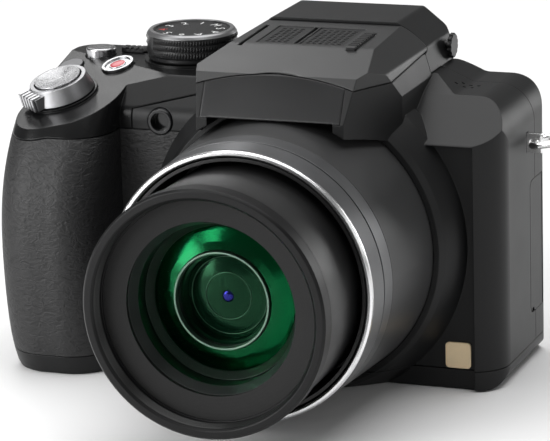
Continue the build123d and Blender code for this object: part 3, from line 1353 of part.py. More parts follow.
def chassis_frame():
    rear = CHASSIS_FRONT_Y + CHASSIS_T
    plate = block(CHASSIS_LEFT_X, CHASSIS_RIGHT_X, CHASSIS_FRONT_Y, rear, CHASSIS_FOOT_Z, CHASSIS_TOP_Z)
    plate = plate - block(-CHASSIS_WINDOW_HALF, CHASSIS_WINDOW_HALF, CHASSIS_FRONT_Y - OVERRUN, rear + OVERRUN,
                          LENS_Z - CHASSIS_WINDOW_HEIGHT / 2, LENS_Z + CHASSIS_WINDOW_HEIGHT / 2)
    tongue = block(-CHASSIS_TONGUE_HALF, CHASSIS_TONGUE_HALF, CHASSIS_FRONT_Y, CHASSIS_TONGUE_Y,
                   CHASSIS_FOOT_Z, CHASSIS_FOOT_Z + CHASSIS_T)
    frame = plate + tongue - rod_z(BUSH_R + SEAT, -OVERRUN, BUSH_H + OVERRUN, 0, 0)
    frame = frame - rod_z(BUSH_FLANGE_R + SEAT, CHASSIS_FOOT_Z + CHASSIS_T, BUSH_H + OVERRUN, 0, 0)
    base_rear = BARREL_BASE_Y + BARREL_BASE_T
    for turn in range(3):
        angle = math.tau * (turn / 3 + 1 / 4)
        reach = (BARREL_NECK_R + CHASSIS_WINDOW_HALF) / 2
        x = reach * math.cos(angle)
        z = LENS_Z + reach * math.sin(angle)
        frame = frame + rod_y(POST_R, base_rear + SEAT / 2, CHASSIS_FRONT_Y, x, z)
    for x in (CHASSIS_LEFT_X + POST_INSET, CHASSIS_RIGHT_X - POST_INSET):
        for z in (CHASSIS_FOOT_Z + 2 * POST_INSET, CHASSIS_TOP_Z - POST_INSET):
            frame = frame + rod_y(POST_R, rear, BOARD_Y - SEAT / 2, x, z)
    return frame


def main_board():
    board = block(CHASSIS_LEFT_X, CHASSIS_RIGHT_X, BOARD_Y, BOARD_Y + BOARD_T, CHASSIS_FOOT_Z + POST_INSET,
                  CHASSIS_TOP_Z)
    board = board - block(-CHASSIS_TONGUE_HALF - SEAT, CHASSIS_TONGUE_HALF + SEAT, BOARD_Y - OVERRUN,
                          BOARD_Y + OVERRUN, 0, BUSH_H + BUSH_FLANGE_T)
    chips = ((-28, 20, 8, 8), (6, 40, 10, 8), (20, 22, 6, 9), (-30, 42, 5, 7))
    share = CHASSIS_WINDOW_HALF / 15
    for x, z, wide, high in chips:
        board = board + block((x - wide) * share, (x + wide) * share, BOARD_Y + BOARD_T,
                              BOARD_Y + 2 * BOARD_T, (z - high) * share, (z + high) * share)
    return board


def image_sensor():
    back = BARREL_BASE_Y + BARREL_BASE_T + SEAT / 2
    plate = block(-SENSOR_W / 2, SENSOR_W / 2, back, back + SENSOR_T, LENS_Z - SENSOR_H / 2, LENS_Z + SENSOR_H / 2)
    chip = block(-SENSOR_CHIP_W / 2, SENSOR_CHIP_W / 2, back - SENSOR_CHIP_T, back,
                 LENS_Z - SENSOR_CHIP_H / 2, LENS_Z + SENSOR_CHIP_H / 2)
    return plate + chip


def zoom_motor():
    motor = rod_y(MOTOR_R, MOTOR_FRONT_Y, MOTOR_FRONT_Y + MOTOR_L, MOTOR_X, MOTOR_Z)
    gearbox = block(GEARBOX_X, MOTOR_X, MOTOR_FRONT_Y, MOTOR_FRONT_Y + GEARBOX_T, MOTOR_Z - GEARBOX_H / 2,
                    MOTOR_Z + GEARBOX_H / 2)
    gearbox = gearbox - rod_y(BARREL_NECK_R + GAP, MOTOR_FRONT_Y - OVERRUN, MOTOR_FRONT_Y + MOTOR_L)
    return motor + gearbox


def screw_holes():
    return [rod_z(SCREW_R + SEAT, -OVERRUN, SCREW_T + SEAT + SEAM, x, y) for x, y in SCREW_PLACES]


def cover_screws():
    screws = []
    for x, y in SCREW_PLACES:
        screw = rod_z(SCREW_R, SEAM, SCREW_T + SEAM, x, y)
        for turn in (0, 90):
            slot = Rot(Z=turn) * Box(2 * SCREW_R - 2 * SCREW_SLOT_W, SCREW_SLOT_W, SCREW_T)
            screw = screw - Pos(x, y, SEAM) * slot
        screws.append(screw)
    return screws


def barrel_bore():
    """Room for the fixed barrel in the covers."""
    front = rod_y(BARREL_REAR_R + SEAT, SHROUD_MOUTH_Y - OVERRUN, BARREL_NECK_Y + SEAT)
    return front + rod_y(BARREL_NECK_R + SEAT, BARREL_NECK_Y, BARREL_BASE_Y + BARREL_BASE_T + SEAT)


def build():
    """Every node of the camera by name."""
    outside = body_form()
    hollow = body_form(WALL)
    shell = outside - hollow
    lid_clear = lid_zone(SEAM)
    covers = shell - barrel_bore()
    nodes = {}

    base = covers & below(BASE_SEAM_Z)
    base = base - rod_z(BUSH_R + SEAT, -OVERRUN, WALL + OVERRUN, 0, 0) - battery_door(SEAM)
    for hole in screw_holes():
        base = base - hole
    nodes["base_cover"] = keep_large(base)

    upper = covers & above(BASE_SEAM_Z + SEAM)
    upper = upper - (lid_clear & above(HUMP_SIDE_Z))
    upper = upper - rod_x(LID_TAIL_R + SEAM, -HUMP_HALF, HUMP_HALF, LID_AXIS_Y, LID_AXIS_Z)

    top = (upper & top_zone()) - (hump_form() & above(HUMP_FOOT_Z))
    top = top + on_slant(SLANT_X, SLANT_Y) * Pos(0, 0, COLLAR_H / 2) * Cylinder(COLLAR_R, COLLAR_H)
    top = top + rod_z(DIAL_R + COLLAR_H, PLATE_Z - COLLAR_H, PLATE_Z + COLLAR_H, DIAL_X, DIAL_Y)
    top = top & block(LEFT_X - OVERRUN, TOP_RIGHT_X, 2 * SLAB_FRONT_Y, REAR_Y, 0, ROOF_Z)
    bed = (skin_zone(0) - skin_zone(SKIN)) & block(
        2 * LEFT_X, SKIN_RIGHT_X, LEFT_X, COVER_SEAM_Y, BASE_SEAM_Z, SKIN_TOP_Z + SEAM)
    bed = bed - above_slant(SKIN_DROP) - rod_y(SHROUD_FOOT_R, LEFT_X, REAR_Y)
    top = top - bed
    top = top - on_slant(SLANT_X, SLANT_Y) * Cylinder(LEVER_SKIRT_R + SHAFT_GAP, 4 * WALL)
    top = top - rod_z(DIAL_SHAFT_R + SHAFT_GAP, PLATE_Z - OVERRUN, PLATE_Z + OVERRUN, DIAL_X, DIAL_Y)
    record_place = on_slant(RECORD_X, RECORD_Y)
    focus_place = on_slant(FOCUS_X, FOCUS_Y)
    drive_place = Location((DRIVE_X, DRIVE_Y, PLATE_Z))
    for radius, place in ((RECORD_R, record_place), (FOCUS_R, focus_place), (DRIVE_R, drive_place)):
        top = top - button_hole(radius, place, WALL)
    top = top - power_switch(BUTTON_GAP)
    nodes["top_cover"] = keep_large(top)

    rubber = grip_rubber()
    nodes["grip_rubber"] = rubber
    panel = brow_panel()
    body = upper - top_zone(SEAM)
    front = body - rear_zone(SEAM) + (well_floor() & hollow)
    front = front - bed
    front = front - rod_y(LAMP_R + SEAT, VALLEY_Y - OVERRUN, VALLEY_Y + OVERRUN, LAMP_X, LAMP_Z)
    front = front - block(-FLASH_HALF - GAP, FLASH_HALF + GAP, FLASH_FRONT_Y - FLASH_SWING, FLASH_REAR_Y + GAP,
                          FLASH_FOOT_Z - GAP, LID_BREAK_Z)
    nodes["brow_panel"] = keep_large((panel & outside) - lid_clear)
    front = front - panel - port_door(SEAM) - lug_hole(1) - lug_hole(-1)
    for hole in speaker_holes():
        front = front - hole
    nodes["front_cover"] = keep_large(front)

    rear = (body & rear_zone()) + (hinge_posts() & outside)
    rear = rear - port_door(SEAM) - lug_hole(1) - lug_hole(-1)
    rear = rear - along_y(screen_face(SEAT), REAR_Y - WALL - OVERRUN, REAR_Y + OVERRUN)
    rear = rear - along_y(eye_window(), HUMP_REAR_Y - 2 * WALL, HUMP_REAR_Y + OVERRUN)
    rear = rear - rod_x(DIOPTER_SHAFT_R + SHAFT_GAP, HUMP_HALF_TOP, 2 * HUMP_HALF, DIOPTER_Y, DIOPTER_Z)
    rear = rear - button_hole(PAD_R, rear_place(PAD_X, PAD_Z), WALL)
    for name, x, z in REAR_BUTTONS:
        rear = rear - button_hole(REAR_BUTTON_R, rear_place(x, z), WALL)
    slot = math.sqrt(THUMB_R ** 2 - (REAR_Y - WALL - THUMB_Y) ** 2) + GAP
    rear = rear - block(THUMB_X - slot, THUMB_X + slot, REAR_Y - 2 * WALL, REAR_Y + OVERRUN,
                        THUMB_Z - THUMB_T / 2 - GAP, THUMB_Z + THUMB_T / 2 + GAP)
    nodes["rear_cover"] = keep_large(rear)

    nodes["fixed_barrel"] = fixed_barrel()
    nodes["nose_ring"] = nose_ring()
    nodes["trim_ring"] = trim_ring()
    nodes["zoom_barrel"] = zoom_barrel()
    nodes["front_barrel"] = front_barrel()
    nodes["bezel_ring"] = bezel_ring()
    nodes["face_ring"] = face_ring()
    nodes["front_lens"] = front_lens()
    nodes["inner_lens"] = inner_lens()
    nodes["iris_unit"] = iris_unit()

    nodes["flash_lid"] = flash_lid(shell)
    nodes["mic_grilles"] = mic_grilles()
    nodes["flash_release"] = flash_release()
    nodes["flash_unit"] = flash_unit()
    nodes["flash_hinge_pin"] = flash_pin()

    nodes["zoom_lever"] = zoom_lever()
    nodes["shutter_button"] = shutter_button()
    record = round_button(RECORD_R, RECORD_H, record_place)
    dish = record_place * Pos(0, 0, RECORD_H) * Cylinder(RECORD_R - RECORD_H, RECORD_H)
    dot = record_place * Pos(0, 0, RECORD_H / 2) * Cylinder(RECORD_DOT_R, RECORD_H / 2)
    nodes["record_button"] = record - dish + dot
    nodes["drive_button"] = round_button(DRIVE_R, DRIVE_H, drive_place, DRIVE_DOME)
    nodes["focus_button"] = round_button(FOCUS_R, FOCUS_H, focus_place)
    nodes["mode_dial"] = mode_dial()
    nodes["power_switch"] = power_switch()

    nodes["four_way_pad"] = rear_pad()
    nodes["menu_button"] = menu_button()
    for name, x, z in REAR_BUTTONS:
        nodes[name] = round_button(REAR_BUTTON_R, REAR_BUTTON_OUT, rear_place(x, z))
    nodes["rear_dial"] = thumb_dial()

    window_back = REAR_Y - SCREEN_SUNK - SCREEN_WINDOW_T
    nodes["screen_window"] = along_y(screen_face(), window_back, REAR_Y - SCREEN_SUNK)
    nodes["screen_panel"] = block(SCREEN_LEFT_X - PANEL_RIM, SCREEN_RIGHT_X + PANEL_RIM,
                                  REAR_Y - WALL - SEAT - PANEL_T, REAR_Y - WALL - SEAT,
                                  SCREEN_FOOT_Z - PANEL_RIM, SCREEN_TOP_Z + PANEL_RIM)
    nodes["viewfinder_tube"] = viewfinder()
    nodes["eyepiece_lens"] = eyepiece_lens()
    nodes["eyecup"] = eyecup()
    nodes["diopter_dial"] = diopter_dial()

    nodes["af_lamp"] = af_lamp()
    nodes["badge_plate"] = badge_plate()
    nodes["speaker"] = speaker()
    nodes["chassis_frame"] = chassis_frame()
    nodes["tripod_bush"] = tripod_bush()
    nodes["main_board"] = main_board()
    nodes["image_sensor"] = image_sensor()
    nodes["zoom_motor"] = zoom_motor()
    nodes["cover_screws"] = cover_screws()

    nodes["battery"] = battery_box()
    holder = battery_box(HOLDER_GAP + HOLDER_T) - battery_box(HOLDER_GAP, OVERRUN)
    nodes["battery_holder"] = holder & above(CELL_FOOT_Z)
    nodes["battery_door"] = battery_door()
    nodes["door_latch"] = door_latch()
    nodes["port_door"] = port_door()
    nodes["port_block"] = port_block()
    nodes["strap_lugs"] = (lug(1), lug(-1))
    nodes["strap_ring_right"] = strap_ring(1)
    nodes["strap_ring_left"] = strap_ring(-1)
    return nodes


def main():
    os.makedirs("parts", exist_ok=True)
    for name, form in build().items():
        if isinstance(form, (list, tuple)):
            solids = [solid for piece in form for solid in piece.solids()]
        else:
            solids = list(form.solids())
        shape = solids[0] if len(solids) == 1 else Compound(solids)
        export_step(shape, f"parts/{name}.step")


if __name__ == "__main__":
    main()
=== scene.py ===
"""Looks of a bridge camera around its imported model. Metres, Z up, the lens looks along -Y."""
import math

import bmesh
import bpy
from mathutils import Matrix, Vector


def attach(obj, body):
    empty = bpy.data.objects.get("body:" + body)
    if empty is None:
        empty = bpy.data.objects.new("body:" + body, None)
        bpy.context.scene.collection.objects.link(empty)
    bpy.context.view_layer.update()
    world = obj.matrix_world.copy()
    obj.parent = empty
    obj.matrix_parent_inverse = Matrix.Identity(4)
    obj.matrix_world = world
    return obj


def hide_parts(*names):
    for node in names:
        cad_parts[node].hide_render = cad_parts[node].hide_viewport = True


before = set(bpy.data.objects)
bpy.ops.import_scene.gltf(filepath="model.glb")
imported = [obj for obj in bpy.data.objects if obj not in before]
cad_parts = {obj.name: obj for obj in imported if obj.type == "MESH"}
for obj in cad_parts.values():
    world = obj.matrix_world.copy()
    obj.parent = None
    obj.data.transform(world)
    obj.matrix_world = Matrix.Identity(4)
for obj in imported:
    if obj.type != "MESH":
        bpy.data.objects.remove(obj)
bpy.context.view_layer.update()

# The studio view: a long lens to the right of the camera's nose and a little above it, turned by
# a degree or two, as a product picture is taken.
view_azimuth = math.radians(20.667)
view_height = math.radians(14.968)
view_roll = math.radians(-1.6)
view_distance = 0.72
aim = Vector((0.017353, -0.084, 0.056368))
back = Vector((math.sin(view_azimuth) * math.cos(view_height),
               -math.cos(view_azimuth) * math.cos(view_height),
               math.sin(view_height)))
level = Vector((math.cos(view_azimuth), math.sin(view_azimuth), 0))
rise = back.cross(level)
across = level * math.cos(view_roll) + rise * math.sin(view_roll)
upward = rise * math.cos(view_roll) - level * math.sin(view_roll)
picture = bpy.data.objects.new("picture_view", bpy.data.cameras.new("picture_view"))
picture.data.lens = 223.3
picture.data.sensor_width = 36
picture.data.clip_start = 0.05
picture.data.clip_end = 20
picture.matrix_world = Matrix.Translation(aim + back * view_distance) @ Matrix(
    (across, upward, back)).transposed().to_4x4()
bpy.context.scene.collection.objects.link(picture)
bpy.context.scene.camera = picture

# Soft studio light: a dim grey room whose wall looks white, one large panel overhead that whitens
# the table, and five smaller ones whose reflections draw the edges of the black covers and
# barrels. The lowest of them draws the crescent in the green coat of the glass.
room_glow = 0.2
wall_glow = 0.8
bpy.context.scene.view_settings.view_transform = "Standard"
room = bpy.data.worlds.new("studio_room")
room.use_nodes = True
wall = room.node_tree.nodes["Background"]
wall.inputs["Color"].default_value = (1, 1, 1, 1)
seen = room.node_tree.nodes.new("ShaderNodeLightPath")
wall_shade = room.node_tree.nodes.new("ShaderNodeMath")
wall_shade.operation = "MULTIPLY_ADD"
wall_shade.inputs[1].default_value = wall_glow
wall_shade.inputs[2].default_value = room_glow
room.node_tree.links.new(seen.outputs["Is Camera Ray"], wall_shade.inputs[0])
room.node_tree.links.new(wall_shade.outputs[0], wall.inputs["Strength"])
bpy.context.scene.world = room


def light_panel(name, place, towards, wide, high, watts):
    """Rectangular softbox turned to a point."""
    lamp = bpy.data.lights.new(name, "AREA")
    lamp.shape = "RECTANGLE"
    lamp.size = wide
    lamp.size_y = high
    lamp.energy = watts
    box = bpy.data.objects.new(name, lamp)
    box.location = place
    box.rotation_euler = (Vector(place) - Vector(towards)).to_track_quat("Z", "Y").to_euler()
    bpy.context.scene.collection.objects.link(box)


light_panel("top_panel", (0, 0.15, 1.1), (0, 0.1, 0), 1.3, 1.3, 14)
light_panel("left_panel", (-0.70, -0.78, 0.50), (0, -0.05, 0.04), 0.85, 0.5, 10)
light_panel("back_left_panel", (-0.62, 0.92, 0.80), (-0.01, -0.02, 0.07), 0.4, 0.34, 1.5)
light_panel("back_right_panel", (0.50, 1.05, 0.19), (0.02, -0.04, 0.04), 0.36, 0.34, 1.3)
light_panel("right_panel", (0.96, -0.30, 0.42), (0.02, -0.03, 0.05), 0.5, 0.5, 0.9)
light_panel("low_panel", (-0.44, -0.56, 0.07), (0, -0.07, 0.03), 0.26, 0.14, 0.9)

# The pale table that the camera stands on, a hair below its feet. It is a sheet of painted board
# and isn't part of the object.
table_half = 6
table_gap = 0.0002
table_mesh = bmesh.new()
bmesh.ops.create_grid(table_mesh, x_segments=1, y_segments=1, size=table_half,
                      matrix=Matrix.Translation((0, 0, -table_gap)))
table_data = bpy.data.meshes.new("table")
table_mesh.to_mesh(table_data)
table_mesh.free()
table = bpy.data.objects.new("table", table_data)
bpy.context.scene.collection.objects.link(table)


class Wire:
    """Output of a shader node. Arithmetic on it adds Math nodes."""

    def __init__(self, finish, socket):
        self.finish = finish
        self.socket = socket

    def maths(self, operation, *others):
        return self.finish.node("Math", {"operation": operation}, dict(enumerate((self, *others))))

    def __add__(self, other):
        return self.maths("ADD", other)

    def __sub__(self, other):
        return self.maths("SUBTRACT", other)

    def __rsub__(self, other):
        return self.finish.node("Math", {"operation": "SUBTRACT"}, {0: other, 1: self})

    def __mul__(self, other):
        return self.maths("MULTIPLY", other)

    __radd__ = __add__
    __rmul__ = __mul__


class Finish:
    """A surface finish. node() adds any node; coat() sets the sockets of the surface."""

    def __init__(self, name):
        self.material = bpy.data.materials.new(name)
        self.material.use_nodes = True
        self.tree = self.material.node_tree
        self.surface = self.tree.nodes["Principled BSDF"]

    def node(self, kind, settings=None, inputs=None, output=0):
        made = self.tree.nodes.new("ShaderNode" + kind)
        for key, value in (settings or {}).items():
            if key == "stops":
                for stop, (at, shade) in zip(made.color_ramp.elements, value):
                    stop.position = at
                    stop.color = (*shade, 1)
            else:
                setattr(made, key, value)
        for key, value in (inputs or {}).items():
            self.plug(made.inputs[key], value)
        return Wire(self, made.outputs[output])

    def plug(self, socket, value):
        if isinstance(value, Wire):
            self.tree.links.new(value.socket, socket)
        else:
            socket.default_value = value

    def place(self):
        return self.node("TexCoord", output="Object")

    def noise(self, place, scale, detail, distortion=0.0):
        return self.node("TexNoise", inputs={"Vector": place, "Scale": scale, "Detail": detail,
                                             "Distortion": distortion})

    def shades(self, factor, dark, light, start=0.3, end=0.7):
        """Colour that goes from dark to light while the factor grows."""
        return self.node("ValToRGB", {"stops": ((start, dark), (end, light))}, {"Fac": factor})

    def relief(self, height, strength, distance, edge=None):
        """Bump, over edges rounded to a radius where one is given."""
        inputs = {"Height": height, "Strength": strength, "Distance": distance}
        if edge:
            inputs["Normal"] = self.node("Bevel", {"samples": 6}, {"Radius": edge})
        return self.node("Bump", inputs=inputs)

    def coat(self, **sockets):
        for key, value in sockets.items():
            self.plug(self.surface.inputs[key.replace("_", " ")], value)
        return self.material


table_finish = Finish("pale_table")
table_cloud = table_finish.noise(table_finish.place(), 3.0, 2.0)
table_data.materials.append(table_finish.coat(
    Base_Color=table_finish.shades(table_cloud, (0.86, 0.86, 0.86), (0.9, 0.9, 0.9)),
    Roughness=0.6))


# The moulded covers: front, rear, base and the lid over the flash, injection-moulded plastic with a
# fine matt spray, screwed together round the chassis.
def sprayed_plastic(name, shade, roughness, grain=4200.0, depth=0.000012, edge=0.00035, gloss=0.25):
    """Sprayed plastic with a fine grain, faint clouding and slightly rounded edges."""
    spray = Finish(name)
    place = spray.place()
    speck = spray.noise(place, grain, 3.0)
    cloud = spray.noise(place, 60.0, 3.0)
    dark = tuple(channel * 0.9 for channel in shade)
    light = tuple(channel * 1.12 for channel in shade)
    return spray.coat(
        Base_Color=spray.shades(cloud * 0.7 + speck * 0.3, dark, light),
        Roughness=roughness + (cloud - 0.5) * 0.1,
        Normal=spray.relief(speck, 0.6, depth, edge),
        Specular_IOR_Level=gloss)


def dress(material, *nodes):
    """Gives CAD nodes their finish."""
    for name in nodes:
        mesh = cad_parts[name].data
        mesh.materials.clear()
        mesh.materials.append(material)


dress(sprayed_plastic("cover_spray", (0.0075, 0.0077, 0.008), 0.4),
      "front_cover", "rear_cover", "base_cover", "battery_door", "port_door")
dress(sprayed_plastic("lid_spray", (0.0105, 0.0107, 0.011), 0.4, gloss=0.5), "flash_lid")

# The top cover carries the controls. It is the same moulded plastic under a smoother, glossier
# lacquer, and screwed down on the front and rear covers.
dress(sprayed_plastic("top_lacquer", (0.006, 0.0061, 0.0063), 0.27, 5200.0, 0.000004, gloss=0.18),
      "top_cover")

# The grip is wrapped in one moulded sheet of black rubber with a leather grain, glued into a
# shallow bed of the front cover.
grain_stretch = (0.8, 0.8, 1.4)
grain_depth = 0.00045
rubber = Finish("grip_rubber_grain")
rubber_place = rubber.node("VectorMath", {"operation": "MULTIPLY"},
                           {0: rubber.place(), 1: grain_stretch})
wrinkle = rubber.noise(rubber_place, 560.0, 3.0, 0.6)
pores = rubber.noise(rubber_place, 3600.0, 2.0)
crest = (wrinkle - 0.5).maths("ABSOLUTE")
grain_height_and_crease_shade = 0.5 - crest * 1.6 + pores * 0.18
# The grain's colour follows its height and darkens in the creases: painted shade.
dress(rubber.coat(
    Base_Color=rubber.shades(grain_height_and_crease_shade, (0.005, 0.005, 0.0053), (0.014, 0.014, 0.0145), 0.2),
    Roughness=0.6 - grain_height_and_crease_shade * 0.14,
    Normal=rubber.relief(grain_height_and_crease_shade, 0.7, grain_depth),
    Specular_IOR_Level=0.45), "grip_rubber")

# The plain band under the flash lid is a moulded strip of gloss black plastic, set flush in the
# brow and glued.
dress(sprayed_plastic("brow_gloss", (0.006, 0.006, 0.0065), 0.22, 3000.0, 0.000003, edge=0.0006,
                      gloss=0.4), "brow_panel")

# The fixed barrel is turned aluminium with a satin graphite paint, fixed to the chassis. The
# paint shows the faint rings of the lathe.
barrel_paint = Finish("barrel_paint")
barrel_place = barrel_paint.place()
barrel_speck = barrel_paint.noise(barrel_place, 4500.0, 3.0)
lathe_rings = barrel_paint.node("TexWave", {"bands_direction": "Y"},
                                {"Vector": barrel_place, "Scale": 1400.0, "Distortion": 0.4})
dress(barrel_paint.coat(
    Base_Color=barrel_paint.shades(barrel_speck, (0.034, 0.0343, 0.035), (0.045, 0.0453, 0.046)),
    Metallic=0.2,
    Roughness=0.34 + barrel_speck * 0.08,
    Normal=barrel_paint.relief(barrel_speck * 0.8 + lathe_rings * 0.2, 0.5, 0.00001, 0.0003)),
    "fixed_barrel")


# The trim ring and the nose band close the front of the fixed barrel. Both are turned aluminium,
# one polished and one dyed graphite, and are pressed on.
def bright_metal(name, shade, roughness, metallic=1.0):
    """Plated, turned or painted metal with fine scratches."""
    metal = Finish(name)
    place = metal.place()
    scratch = metal.noise(place, 2500.0, 4.0)
    stain = metal.noise(place, 180.0, 2.0)
    dark = tuple(channel * 0.92 for channel in shade)
    return metal.coat(
        Base_Color=metal.shades(stain, dark, shade),
        Metallic=metallic,
        Roughness=roughness + stain * 0.08,
        Normal=metal.relief(scratch, 0.3, 0.000004, 0.0002))


dress(bright_metal("trim_metal", (0.86, 0.86, 0.87), 0.2), "trim_ring")
dress(bright_metal("nose_graphite", (0.15, 0.152, 0.156), 0.3, metallic=0.8), "nose_ring")

# The two sliding barrels are aluminium tubes with a satin black paint, and the bezel at their mouth
# is a moulded ring, screwed on.
dress(bright_metal("stage_paint", (0.008, 0.008, 0.0083), 0.34, metallic=0.02),
      "zoom_barrel", "front_barrel")
dress(sprayed_plastic("bezel_paint", (0.0055, 0.0055, 0.0058), 0.36, 5000.0, 0.000003, gloss=0.22),
      "bezel_ring")


# The filter thread is cut in the bezel's bore: shallow rings of the thread's pitch, in the bezel's
# own black. It turns about the lens axis, as every ring behind it does.
def turned(section, middle, axis, steps, closed):
    """A section spun a full turn about an axis, its seam closed and its faces pointing outwards."""
    weld = 1e-6
    shape = bmesh.new()
    points = [shape.verts.new(point) for point in section]
    for start, end in zip(points, points[1:] + points[:1] if closed else points[1:]):
        shape.edges.new((start, end))
    bmesh.ops.spin(shape, geom=shape.verts[:] + shape.edges[:], cent=middle, axis=axis,
                   angle=math.tau, steps=steps, use_merge=True, use_duplicate=False)
    bmesh.ops.remove_doubles(shape, verts=shape.verts[:], dist=weld)
    bmesh.ops.recalc_face_normals(shape, faces=shape.faces[:])
    return shape


def finish_piece(mesh, name, material, body, smooth=False):
    """Closes a bmesh into an object that rides on a body."""
    data = bpy.data.meshes.new(name)
    mesh.to_mesh(data)
    mesh.free()
    data.materials.append(material)
    for face in data.polygons:
        face.use_smooth = smooth
    piece = bpy.data.objects.new(name, data)
    bpy.context.scene.collection.objects.link(piece)
    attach(piece, body)
    return piece


lens_height = 0.034
lens_middle = (0, 0, lens_height)
lens_axis = (0, 1, 0)
thread_pitch = 0.00075
thread_turns = 4
thread_root = 0.02556
thread_cut = 0.0003
thread_mouth = -0.08345
thread_section = [
    (thread_root - (step % 2) * thread_cut, thread_mouth + step * thread_pitch / 2, lens_height)
    for step in range(2 * thread_turns + 1)]
thread = turned(thread_section, lens_middle, lens_axis, 180, closed=False)
for flank in thread.faces:
    flank.normal_update()
    middle = flank.calc_center_median()
    if flank.normal.dot(middle - Vector((0, middle.y, lens_height))) > 0:
        flank.normal_flip()
finish_piece(thread, "filter_thread",
             bright_metal("thread_black", (0.014, 0.014, 0.014), 0.3, metallic=0.3),
             "lens_front_group")


# The face ring round the glass is moulded in matt black plastic, with fine concentric rings against
# glare, and screwed into the bezel.
def centred_place(finish, middle):
    """Place measured from a middle."""
    return finish.node("Mapping", {"vector_type": "POINT"},
                       {"Vector": finish.place(), "Location": tuple(-value for value in middle)})


def axis_radius(finish, centred, weights=(1, 0, 1)):
    """Distance of a place from the axis; the weights leave out the axis's own direction."""
    flat = finish.node("VectorMath", {"operation": "MULTIPLY"}, {0: centred, 1: weights})
    return finish.node("VectorMath", {"operation": "LENGTH"}, {0: flat}, output="Value")


def grooves(radius, pitch):
    """Rings of a pitch, from 1 to -1 across each."""
    return (radius * (math.tau / pitch)).maths("SINE")


face_pitch = 0.0008
face_black = Finish("face_black")
face_rings = grooves(axis_radius(face_black, centred_place(face_black, lens_middle)), face_pitch)
face_speck = face_black.noise(face_black.place(), 4000.0, 2.0)
dress(face_black.coat(
    Base_Color=face_black.shades(face_speck, (0.007, 0.007, 0.007), (0.011, 0.011, 0.011)),
    Roughness=0.5 + face_speck * 0.12,
    Specular_IOR_Level=0.24,
    Normal=face_black.relief(face_rings * 0.25 + face_speck * 0.6, 0.5, 0.00002)), "face_ring")

# The front glass is ground clear and coated against reflections: it shows the pieces behind it and
# mirrors the room only at a flat angle. The face ring holds it.
glass = Finish("front_glass")
dust = glass.noise(glass.place(), 1800.0, 2.0)
glass.coat(Base_Color=(0.45, 0.95, 0.7, 1), Metallic=1.0, Roughness=0.02 + dust * 0.01)
graze = glass.node("LayerWeight", inputs={"Blend": 0.5}, output="Facing")
clear = glass.node("BsdfTransparent", inputs={"Color": (0.88, 0.95, 0.91, 1)})
sheen = glass.node("MixShader", inputs={"Fac": graze.maths("POWER", 5.0), 1: clear,
                                        2: Wire(glass, glass.surface.outputs[0])})
glass.plug(glass.tree.nodes["Material Output"].inputs["Surface"], sheen)
dress(glass.material, "front_lens")


# The second glass lies deeper, in a bright retaining ring. It is dark glass with a painted green
# glow that grows towards its rim. A coated shoulder, its real reflections tinted by the same
# painted ramp, and a black baffle fill the space to the front glass's seat.
def coated_glass(name, middle, rim, reach, roughness, tint, ior, metallic=0.0):
    """Dark glass seen from the front, its colour a painted glow from middle to rim; coat tints
    gloss.
    """
    made = Finish(name)
    centred = centred_place(made, lens_middle)
    mist = made.noise(centred, 160.0, 1.0)
    # Painted glow: the colour follows the distance from the lens axis, scaled by the reach.
    painted_glow_ramp = axis_radius(made, centred) * (1 / reach) + (mist - 0.5) * 0.12
    return made.coat(Base_Color=made.shades(painted_glow_ramp, middle, rim, 0.15, 0.95),
                     Roughness=roughness + mist * 0.03, Specular_Tint=tint, IOR=ior,
                     Metallic=metallic)


def lens_ring(name, corners, material, smooth=False, steps=128):
    """A ring turned from its section's corners (radius, distance along the lens axis)."""
    section = [(radius, along, lens_height) for radius, along in corners]
    ring = turned(section, lens_middle, lens_axis, steps, closed=corners[0][0] > 0)
    finish_piece(ring, name, material, "lens_front_group", smooth=smooth)


dress(coated_glass("inner_glass_painted_glow", (0.001, 0.002, 0.0015), (0.003, 0.014, 0.008), 0.0098, 0.12,
                   (0.36, 1.0, 0.58, 1), 1.42), "inner_lens")
lens_ring("second_shoulder",
          ((0.0114, -0.07165), (0.0132, -0.07130), (0.0157, -0.07063), (0.0164, -0.07040),
           (0.0164, -0.0694), (0.0114, -0.0694)),
          coated_glass("shoulder_coat_painted_glow", (0.03, 0.06, 0.042), (0.005, 0.09, 0.034), 0.0150, 0.12,
                       (0.07, 1.0, 0.5, 1), 1.5, 1.0), steps=192)
lens_ring("baffle_cone",
          ((0.0181, -0.0720), (0.0181, -0.0694), (0.0165, -0.0694), (0.0165, -0.0703)),
          sprayed_plastic("baffle_black", (0.012, 0.014, 0.0125), 0.4, 5000.0, 0.000003),
          steps=192)

# Three turned rings hold the glasses. Each has a narrow bevelled front. The two deeper ones take a
# darker, greener copy of the metal, painted shade for how dim they look through the coats.
ring_pale = bright_metal("ring_pale", (0.26, 0.29, 0.27), 0.38)
ring_painted_dim = bright_metal("ring_painted_dim", (0.1, 0.15, 0.12), 0.35)
for name, radius, half, front, metal in (("retaining_ring", 0.0109, 0.00042, -0.0722, ring_pale),
                                         ("third_ring", 0.0088, 0.00012, -0.0675, ring_painted_dim),
                                         ("stop_ring", 0.0053, 0.00014, -0.0681, ring_painted_dim)):
    lens_ring(name, ((radius - half, front + 2 * half), (radius - half / 2, front - half),
                     (radius + half / 2, front - half), (radius + half, front + 2 * half)),
              metal)

# The deepest glass shows only as a small violet dome in the middle of the iris, whose blades are
# black painted steel.
violet = Finish("violet_coat")
violet_speck = violet.noise(violet.place(), 900.0, 1.0)
lens_ring("deep_glass",
          ((0.0, -0.0687), (0.0005, -0.06867), (0.0009, -0.0686), (0.0013, -0.06848),
           (0.0014, -0.0681), (0.0, -0.0681)),
          violet.coat(Base_Color=violet.shades(violet_speck, (0.022, 0.016, 0.17),
                                               (0.032, 0.024, 0.23)),
                      Metallic=0.9, Roughness=0.12), smooth=True, steps=48)
dress(sprayed_plastic("iris_black", (0.01, 0.01, 0.01), 0.5), "iris_unit")

